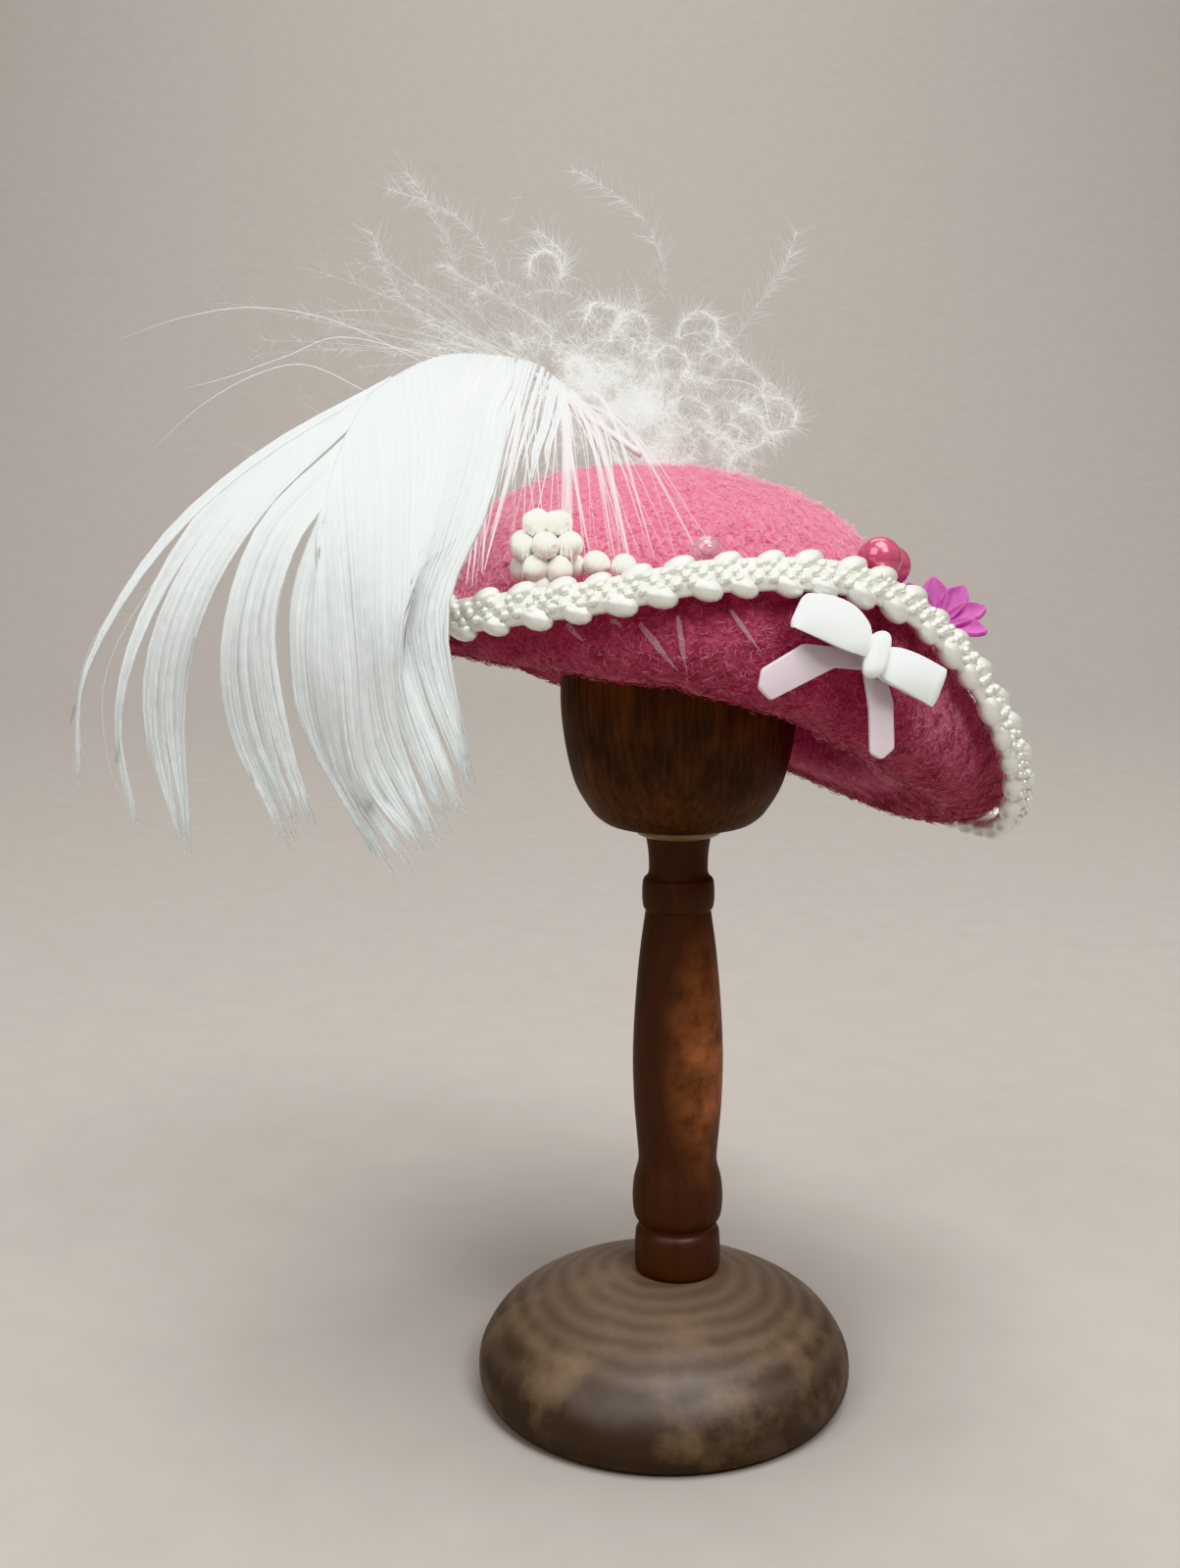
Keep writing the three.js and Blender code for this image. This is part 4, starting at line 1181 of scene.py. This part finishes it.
# Some barbs are painted greyer: painted shade between the barbs, which throw no shadow on each other.
painted_shade_share = 0.6 * rng.random(len(barb_paths)) ** 2
painted_barb_shade = barbs.data.attributes.new("painted_barb_shade", "FLOAT", "POINT")
painted_barb_shade.data.foreach_set("value", np.repeat(painted_shade_share, BARB_POINTS * BARB_SIDES))
shaft_line = smooth_line(SHAFT_LINE, 60)[None] * MM
shaft_radii = np.interp(np.linspace(0, 1, 60), [0, 0.45, 1], [0.26, 0.24, 0.06])[None] * MM
shaft = join_strands("feather_shaft", shaft_line, shaft_radii, np.array([0.3, 0.2, 1.0]), sides=12)
# Bleached feather: silky white barbs with a cool shine that let light through, some painted a little greyer
# as painted shade between them.
white_barb = blank_material("feather_barb_bleached")
place = add_node(white_barb, "ShaderNodeTexCoord", {})
furrows = add_node(
    white_barb,
    "ShaderNodeTexNoise",
    {"Vector": place.outputs["Object"], "Scale": 1 / (0.8 * MM), "Detail": 3.0},
)
tone = add_node(
    white_barb,
    "ShaderNodeMixRGB",
    {"Fac": furrows.outputs["Fac"], "Color1": linear("#D6DAD9"), "Color2": linear("#ECEFEE")},
)
painted_barb_shade_node = add_node(white_barb, "ShaderNodeAttribute", {}, attribute_name="painted_barb_shade")
tone = add_node(
    white_barb,
    "ShaderNodeMixRGB",
    {"Fac": painted_barb_shade_node.outputs["Fac"], "Color1": tone.outputs["Color"], "Color2": linear("#B4BCBA")},
)
shader = add_node(
    white_barb,
    "ShaderNodeBsdfPrincipled",
    {"Base Color": tone.outputs["Color"], "Roughness": 0.42, "Sheen Weight": 0.25,
     "Subsurface Weight": 0.2, "Subsurface Radius": (1.0, 1.0, 1.0), "Subsurface Scale": 0.3 * MM},
)
through = add_node(white_barb, "ShaderNodeBsdfTranslucent", {"Color": tone.outputs["Color"]})
silky = add_node(
    white_barb, "ShaderNodeMixShader", {0: 0.2, 1: shader.outputs["BSDF"], 2: through.outputs["BSDF"]}
)
add_node(white_barb, "ShaderNodeOutputMaterial", {"Surface": silky.outputs["Shader"]})
settle(barbs, white_barb, "feather", "feather")
settle(shaft, white_barb, "feather")
settle(web, white_barb, "feather")
# Light goes through real barbs, so they throw no shadow on each other.
barbs.visible_shadow = False


# Loose barbs: the lowest barbs of the feather fan out over the front of the crown, and a few strands have
# sprung free of the locks or lie on the felt under the braid.
TOWARDS_VIEW = np.array([-0.15, -1.0, 0.25])
FAN_ROOTS = [
    (-13.5, -6.4, 79.0), (-10.0, -4.0, 78.5), (-8.0, -2.6, 77.3), (-7.2, -2.2, 76.8), (-6.6, -2.0, 76.2),
]
FAN_ENDS = [
    (-15.4, -17.2, 63.9), (-13.4, -16.9, 64.2), (-11.6, -16.4, 64.6), (-8.6, -15.8, 64.8),
    (-5.6, -15.3, 64.8), (-2.2, -15.0, 64.6), (3.1, -14.4, 64.8),
]
FAN_BARBS = 72
LOOSE_POINTS = 20
LINE_STEPS = 200
rng = np.random.default_rng(41)
fan_share = np.sort(rng.random(FAN_BARBS) ** 1.6)
fan_at = ((LINE_STEPS - 1) * fan_share).astype(int)
fan_roots = smooth_line(FAN_ROOTS, LINE_STEPS)[fan_at] + rng.normal(0, 0.2, (FAN_BARBS, 3))
fan_ends = smooth_line(FAN_ENDS, LINE_STEPS)[fan_at] + rng.normal(0, 0.7, (FAN_BARBS, 3))
fan_over = 0.5 * fan_roots + 0.5 * fan_ends + [0, -1.0, 2.6] + rng.normal(0, 0.6, (FAN_BARBS, 3))
fan_paths = smooth_line(np.stack([fan_roots, fan_over, fan_ends]), LOOSE_POINTS).transpose(1, 0, 2)
# Barbs that have sprung free of the vane, and long ones that arch away from the ridge.
STRAY_HALF_WIDTH = 0.03
STRAYS = [
    [(-20.2, -12.5, 76.1), (-23.8, -13, 77.7), (-26.8, -14, 77.1), (-30.4, -15, 75), (-33.7, -16, 71.9)],
    [(-15.8, -9, 78.5), (-21.7, -11, 79.7), (-25.1, -13, 78.3), (-28.7, -14, 76.9), (-31.7, -15, 76)],
    [(-16.6, -9, 78.2), (-22, -11.4, 80.6), (-27, -12.6, 81.4), (-31.6, -13, 80.8), (-36.0, -13, 79.4)],
    [(-19.4, -12.6, 76), (-31, -14.6, 68.4), (-38.2, -14.4, 60), (-39.9, -13, 54), (-39.4, -12, 50.6)],
    [(-19.8, -13, 75.4), (-30.4, -15, 67.6), (-36.9, -15, 59), (-37.9, -13.6, 52), (-36.4, -12.6, 47.4)],
    [(1.1, -6, 74.8), (2.5, -9, 76.8), (5.6, -10.6, 76.4), (6.3, -13, 73.8), (6.7, -14.6, 71)],
]
stray_paths = np.array([smooth_line(stray, LOOSE_POINTS) for stray in STRAYS])
loose_paths = np.concatenate([fan_paths, stray_paths]) * MM
t = np.linspace(0, 1, LOOSE_POINTS)
fan_half_width = 0.025 + 0.24 * rng.random(FAN_BARBS) ** 3
loose_half_width = np.concatenate([fan_half_width, np.full(len(STRAYS), STRAY_HALF_WIDTH)])
loose_radii = loose_half_width[:, None] * MM * np.minimum(1, 2.5 * (1 - t) + 0.15)
loose_barbs = join_strands("loose_barbs", loose_paths, loose_radii, TOWARDS_VIEW, sides=4, flat=0.5)
# Barbs caught under the braid lie flat on the felt of the cocked brim: two ends and a half width for each.
CAUGHT = [
    ((-2.4, -19, 61.3), (0.0, -19, 57.2), 0.26),
    ((0.0, -19, 61.6), (0.5, -19, 57.0), 0.22),
    ((3.4, -19, 62.2), (5.4, -19, 59.1), 0.2),
    ((5.9, -19, 56.7), (6.6, -19, 54.8), 0.16),
    ((-7.4, -18, 61.0), (-6.2, -18, 59.7), 0.26),
    ((-4.5, -19, 61.6), (-3.7, -19, 60.8), 0.18),
]
CAUGHT_POINTS = 12
CAUGHT_LIFT = 0.25
caught_taper = np.interp(np.linspace(0, 1, CAUGHT_POINTS), [0, 0.4, 1], [0.7, 1, 0.1])
caught_paths = []
caught_facing = []
caught_radii = []
for start, stop, half_width in CAUGHT:
    places = [felt.closest_point_on_mesh(Vector(p) * MM)[1:3] for p in smooth_line([start, stop], 3)]
    points, normals = np.array(places).transpose(1, 0, 2)
    caught_paths.append(smooth_line(points + normals * CAUGHT_LIFT * MM, CAUGHT_POINTS))
    caught_facing.append(smooth_line(normals, CAUGHT_POINTS))
    caught_radii.append(half_width * MM * caught_taper)
caught_barbs = join_strands(
    "caught_barbs",
    np.array(caught_paths),
    np.array(caught_radii),
    np.array(caught_facing),
    sides=6,
    flat=0.2,
)
# A single barb: thin enough to let the pink through, with a bright edge. Pressed flat on the felt, it only
# veils the pink, and its colour is tinted pink: painted light from the felt under it.
for piece, barb_name, barb_alpha, barb_roughness, barb_dark, barb_light in (
    (loose_barbs, "feather_barb_single", 0.26, 0.4, "#F0EEEE", "#FCFCFC"),
    # The caught barbs' pink tint is painted light from the felt under them.
    (caught_barbs, "feather_barb_veil", 0.14, 0.35, "#E4C8D0", "#F6EAEE"),
):
    thin_barb = blank_material(barb_name)
    place = add_node(thin_barb, "ShaderNodeTexCoord", {})
    furrows = add_node(
        thin_barb,
        "ShaderNodeTexNoise",
        {"Vector": place.outputs["Object"], "Scale": 1 / (0.8 * MM), "Detail": 3.0},
    )
    tone = add_node(
        thin_barb,
        "ShaderNodeMixRGB",
        {"Fac": furrows.outputs["Fac"], "Color1": linear(barb_dark), "Color2": linear(barb_light)},
    )
    shader = add_node(
        thin_barb,
        "ShaderNodeBsdfPrincipled",
        {"Base Color": tone.outputs["Color"], "Roughness": barb_roughness, "Alpha": barb_alpha},
    )
    add_node(thin_barb, "ShaderNodeOutputMaterial", {"Surface": shader.outputs["BSDF"]})
    settle(piece, thin_barb, "feather")
loose_barbs.visible_shadow = False


# The base of the feather is down: soft plumes without hooks, each a limp thread with a haze of fine hairs,
# that float up behind the shaft and curl over the crown.
PLUMES = 150
DOWN_POINTS = 16
DOWN_LINE = [(-11, -3.4, 78.6), (-8.4, -0.6, 77.4), (-5, 1.2, 75.4), (-1, 2.0, 73.8), (3.5, 2.6, 72.6)]
rng = np.random.default_rng(51)
down_line = smooth_line(DOWN_LINE, LINE_STEPS)
plume_at = ((LINE_STEPS - 1) * rng.random(PLUMES) ** 0.55).astype(int)
plume_roots = down_line[plume_at] + rng.normal(0, 0.9, (PLUMES, 3))
plume_heading = unit(rng.normal(0, 1, (PLUMES, 3)) * [1.0, 0.6, 0.6] + [0.1, 0.35, 0.8])
plume_side = unit(np.cross(plume_heading, rng.normal(0, 0.5, (PLUMES, 3)) + [0, 1.0, 0]))
plume_length = 4.0 + 8.5 * rng.random((PLUMES, 1, 1)) ** 1.4
t = np.linspace(0, 1, DOWN_POINTS)[None, :, None]
plume_turn = rng.choice([-1, 1], (PLUMES, 1, 1)) * rng.uniform(1.5, 5.0, (PLUMES, 1, 1)) * t**1.2
plume_steps = plume_heading[:, None] * np.cos(plume_turn) + plume_side[:, None] * np.sin(plume_turn)
plume_paths = plume_roots[:, None] + np.cumsum(plume_steps, axis=1) * plume_length / DOWN_POINTS
# Long single plumes that stand out of the haze.
WISPS = [
    [(0.1, 2, 76), (0.2, 1.5, 81), (-0.2, 0, 86), (-1.6, 0, 89.1), (-4.2, 0, 91.2), (-6.6, 0, 92.5)],
    [(2.6, 3, 76), (4.6, 3, 79.9), (7, 1, 83.3), (8.5, 0, 85.5), (9.5, 0, 88.2)],
    [(-8, 3, 79), (-11.6, 2, 84.5), (-13.3, 0, 87.6), (-15.9, -2, 89.6), (-19.5, -2, 90.8)],
    [(-10, 3, 78.5), (-14.5, 2, 84), (-15.4, 0, 87), (-16.8, -2, 90), (-18.2, -2, 91.9)],
    [(-4, 2, 78.5), (-8.1, 2, 81.7), (-12.7, 1, 84.2), (-16.2, 0, 86)],
    [(-9, -2, 78.6), (-13.4, 0, 80.6), (-17.2, -3, 81.8), (-19.4, -5, 84.6), (-20.3, -6, 87.2)],
    [(-6, 2, 79), (-8, 1.5, 84), (-7.2, 1, 86.6), (-9.2, 0, 88.4)],
    [(0.7, -2, 78), (0.7, -2, 80.2), (2.6, -2, 81), (4.4, -2, 80.2), (2.6, -2, 79.4)],
]
wisp_paths = np.array([smooth_line(wisp, DOWN_POINTS) for wisp in WISPS])
# Straighter plumes that spray out to the left, from the front of the line of the down.
SPRAY = 64
SPRAY_STEPS = 90
spray_roots = down_line[(SPRAY_STEPS * rng.random(SPRAY)).astype(int)]
spray_heading = unit(np.array([-0.95, -0.15, 0.36]) + rng.normal(0, 0.36, (SPRAY, 3)))
spray_length = rng.uniform(6.0, 18.0, (SPRAY, 1, 1))
spray_droop = rng.normal(0, 0.2, (SPRAY, 1, 3)) + [0, -0.05, -0.2]
spray_paths = spray_roots[:, None] + spray_length * (spray_heading[:, None] * t + spray_droop * t**2)
# Broad curls: where each grows along the line of the down, the middle of its curl, its radius and turn.
CURLS = [
    (0.45, (-4.4, 2, 82.4), 1.3, 5.0), (0.6, (-2.4, 3, 81.4), 1.5, -5.2), (0.7, (0.6, 3, 79.2), 1.4, 5.0),
    (0.85, (2.8, 3, 81.6), 1.5, -5.0), (0.9, (5.4, 3, 77.6), 1.9, 5.2), (1.0, (6.2, 3, 74.2), 1.8, -5.2),
    (0.3, (-8.6, 2, 86.0), 1.2, 5.0), (1.0, (8.4, 2.6, 75.4), 1.5, 4.6), (0.8, (1.8, 3, 75.2), 1.8, 5.0),
]
curl_paths = []
for grows_at, middle, radius, turn in CURLS:
    root = down_line[int((LINE_STEPS - 1) * grows_at)]
    start = math.atan2(root[2] - middle[2], root[0] - middle[0])
    angle = start + np.linspace(0, turn, 6)
    ring = np.array(middle) + radius * np.stack([np.cos(angle), 0.4 * np.sin(angle), np.sin(angle)], 1)
    ring = ring + rng.normal(0, 0.1 * radius, ring.shape)
    curl_paths.append(smooth_line(np.concatenate([root[None], ring]), DOWN_POINTS))
down_paths = np.concatenate([plume_paths, curl_paths, wisp_paths, spray_paths]) * MM
# The thread's half width and the hairs on each, for the four kinds in that order.
THREAD_HALF_WIDTHS = [0.009, 0.009, 0.028, 0.02]
HAIRS_ON_EACH = [110, 380, 200, 36]
down_kinds = [PLUMES, len(CURLS), len(WISPS), SPRAY]
thread_taper = 1 - 0.7 * np.linspace(0, 1, DOWN_POINTS)
thread_radii = np.repeat(THREAD_HALF_WIDTHS, down_kinds)[:, None] * MM * thread_taper
plumes = join_strands("down_plumes", down_paths, thread_radii, np.array([0.3, -1.0, 0.2]))
on_path = np.repeat(np.arange(len(down_paths)), np.repeat(HAIRS_ON_EACH, down_kinds))
where = (DOWN_POINTS - 1) * (0.3 + 0.699 * rng.random(len(on_path)))
step = where.astype(int)
next_step = np.minimum(step + 1, DOWN_POINTS - 1)
down_along = unit(np.gradient(down_paths, axis=1))[on_path, step]
hair_roots = down_paths[on_path, step]
hair_roots = hair_roots + (where - step)[:, None] * (down_paths[on_path, next_step] - hair_roots)
aside = unit(np.cross(down_along, rng.normal(size=hair_roots.shape)))
hair_length = 0.25 * MM + 1.7 * MM * rng.random((len(on_path), 1)) ** 2
hair_tips = hair_roots + (aside + down_along * rng.uniform(0.2, 1.2, (len(on_path), 1))) * hair_length
hair_paths = np.stack([hair_roots, hair_tips], 1)
hair_radii = np.broadcast_to(np.array([0.0055, 0.003]) * MM, (len(on_path), 2))
down_hairs = join_strands("down_hairs", hair_paths, hair_radii, np.array([0.31, -1.0, 0.22]))
# Down: white hairs too fine to part by eye, which add up to a pale mist. They are drawn coarser than real
# ones, so that they show.
down_mist = blank_material("feather_down_white")
place = add_node(down_mist, "ShaderNodeTexCoord", {})
mist = add_node(
    down_mist,
    "ShaderNodeTexNoise",
    {"Vector": place.outputs["Object"], "Scale": 1 / (3 * MM), "Detail": 2.0},
)
tone = add_node(
    down_mist,
    "ShaderNodeMixRGB",
    {"Fac": mist.outputs["Fac"], "Color1": linear("#E2E4E2"), "Color2": linear("#F2F4F2")},
)
shader = add_node(
    down_mist, "ShaderNodeBsdfPrincipled", {"Base Color": tone.outputs["Color"], "Roughness": 0.6}
)
through = add_node(down_mist, "ShaderNodeBsdfTranslucent", {"Color": tone.outputs["Color"]})
hair = add_node(
    down_mist, "ShaderNodeMixShader", {0: 0.45, 1: shader.outputs["BSDF"], 2: through.outputs["BSDF"]}
)
add_node(down_mist, "ShaderNodeOutputMaterial", {"Surface": hair.outputs["Shader"]})
settle(plumes, down_mist, "down", "down_plume")
settle(down_hairs, down_mist, "down")
# The drawn hairs are thicker than real ones, so they throw no shadow on each other.
down_hairs.visible_shadow = False
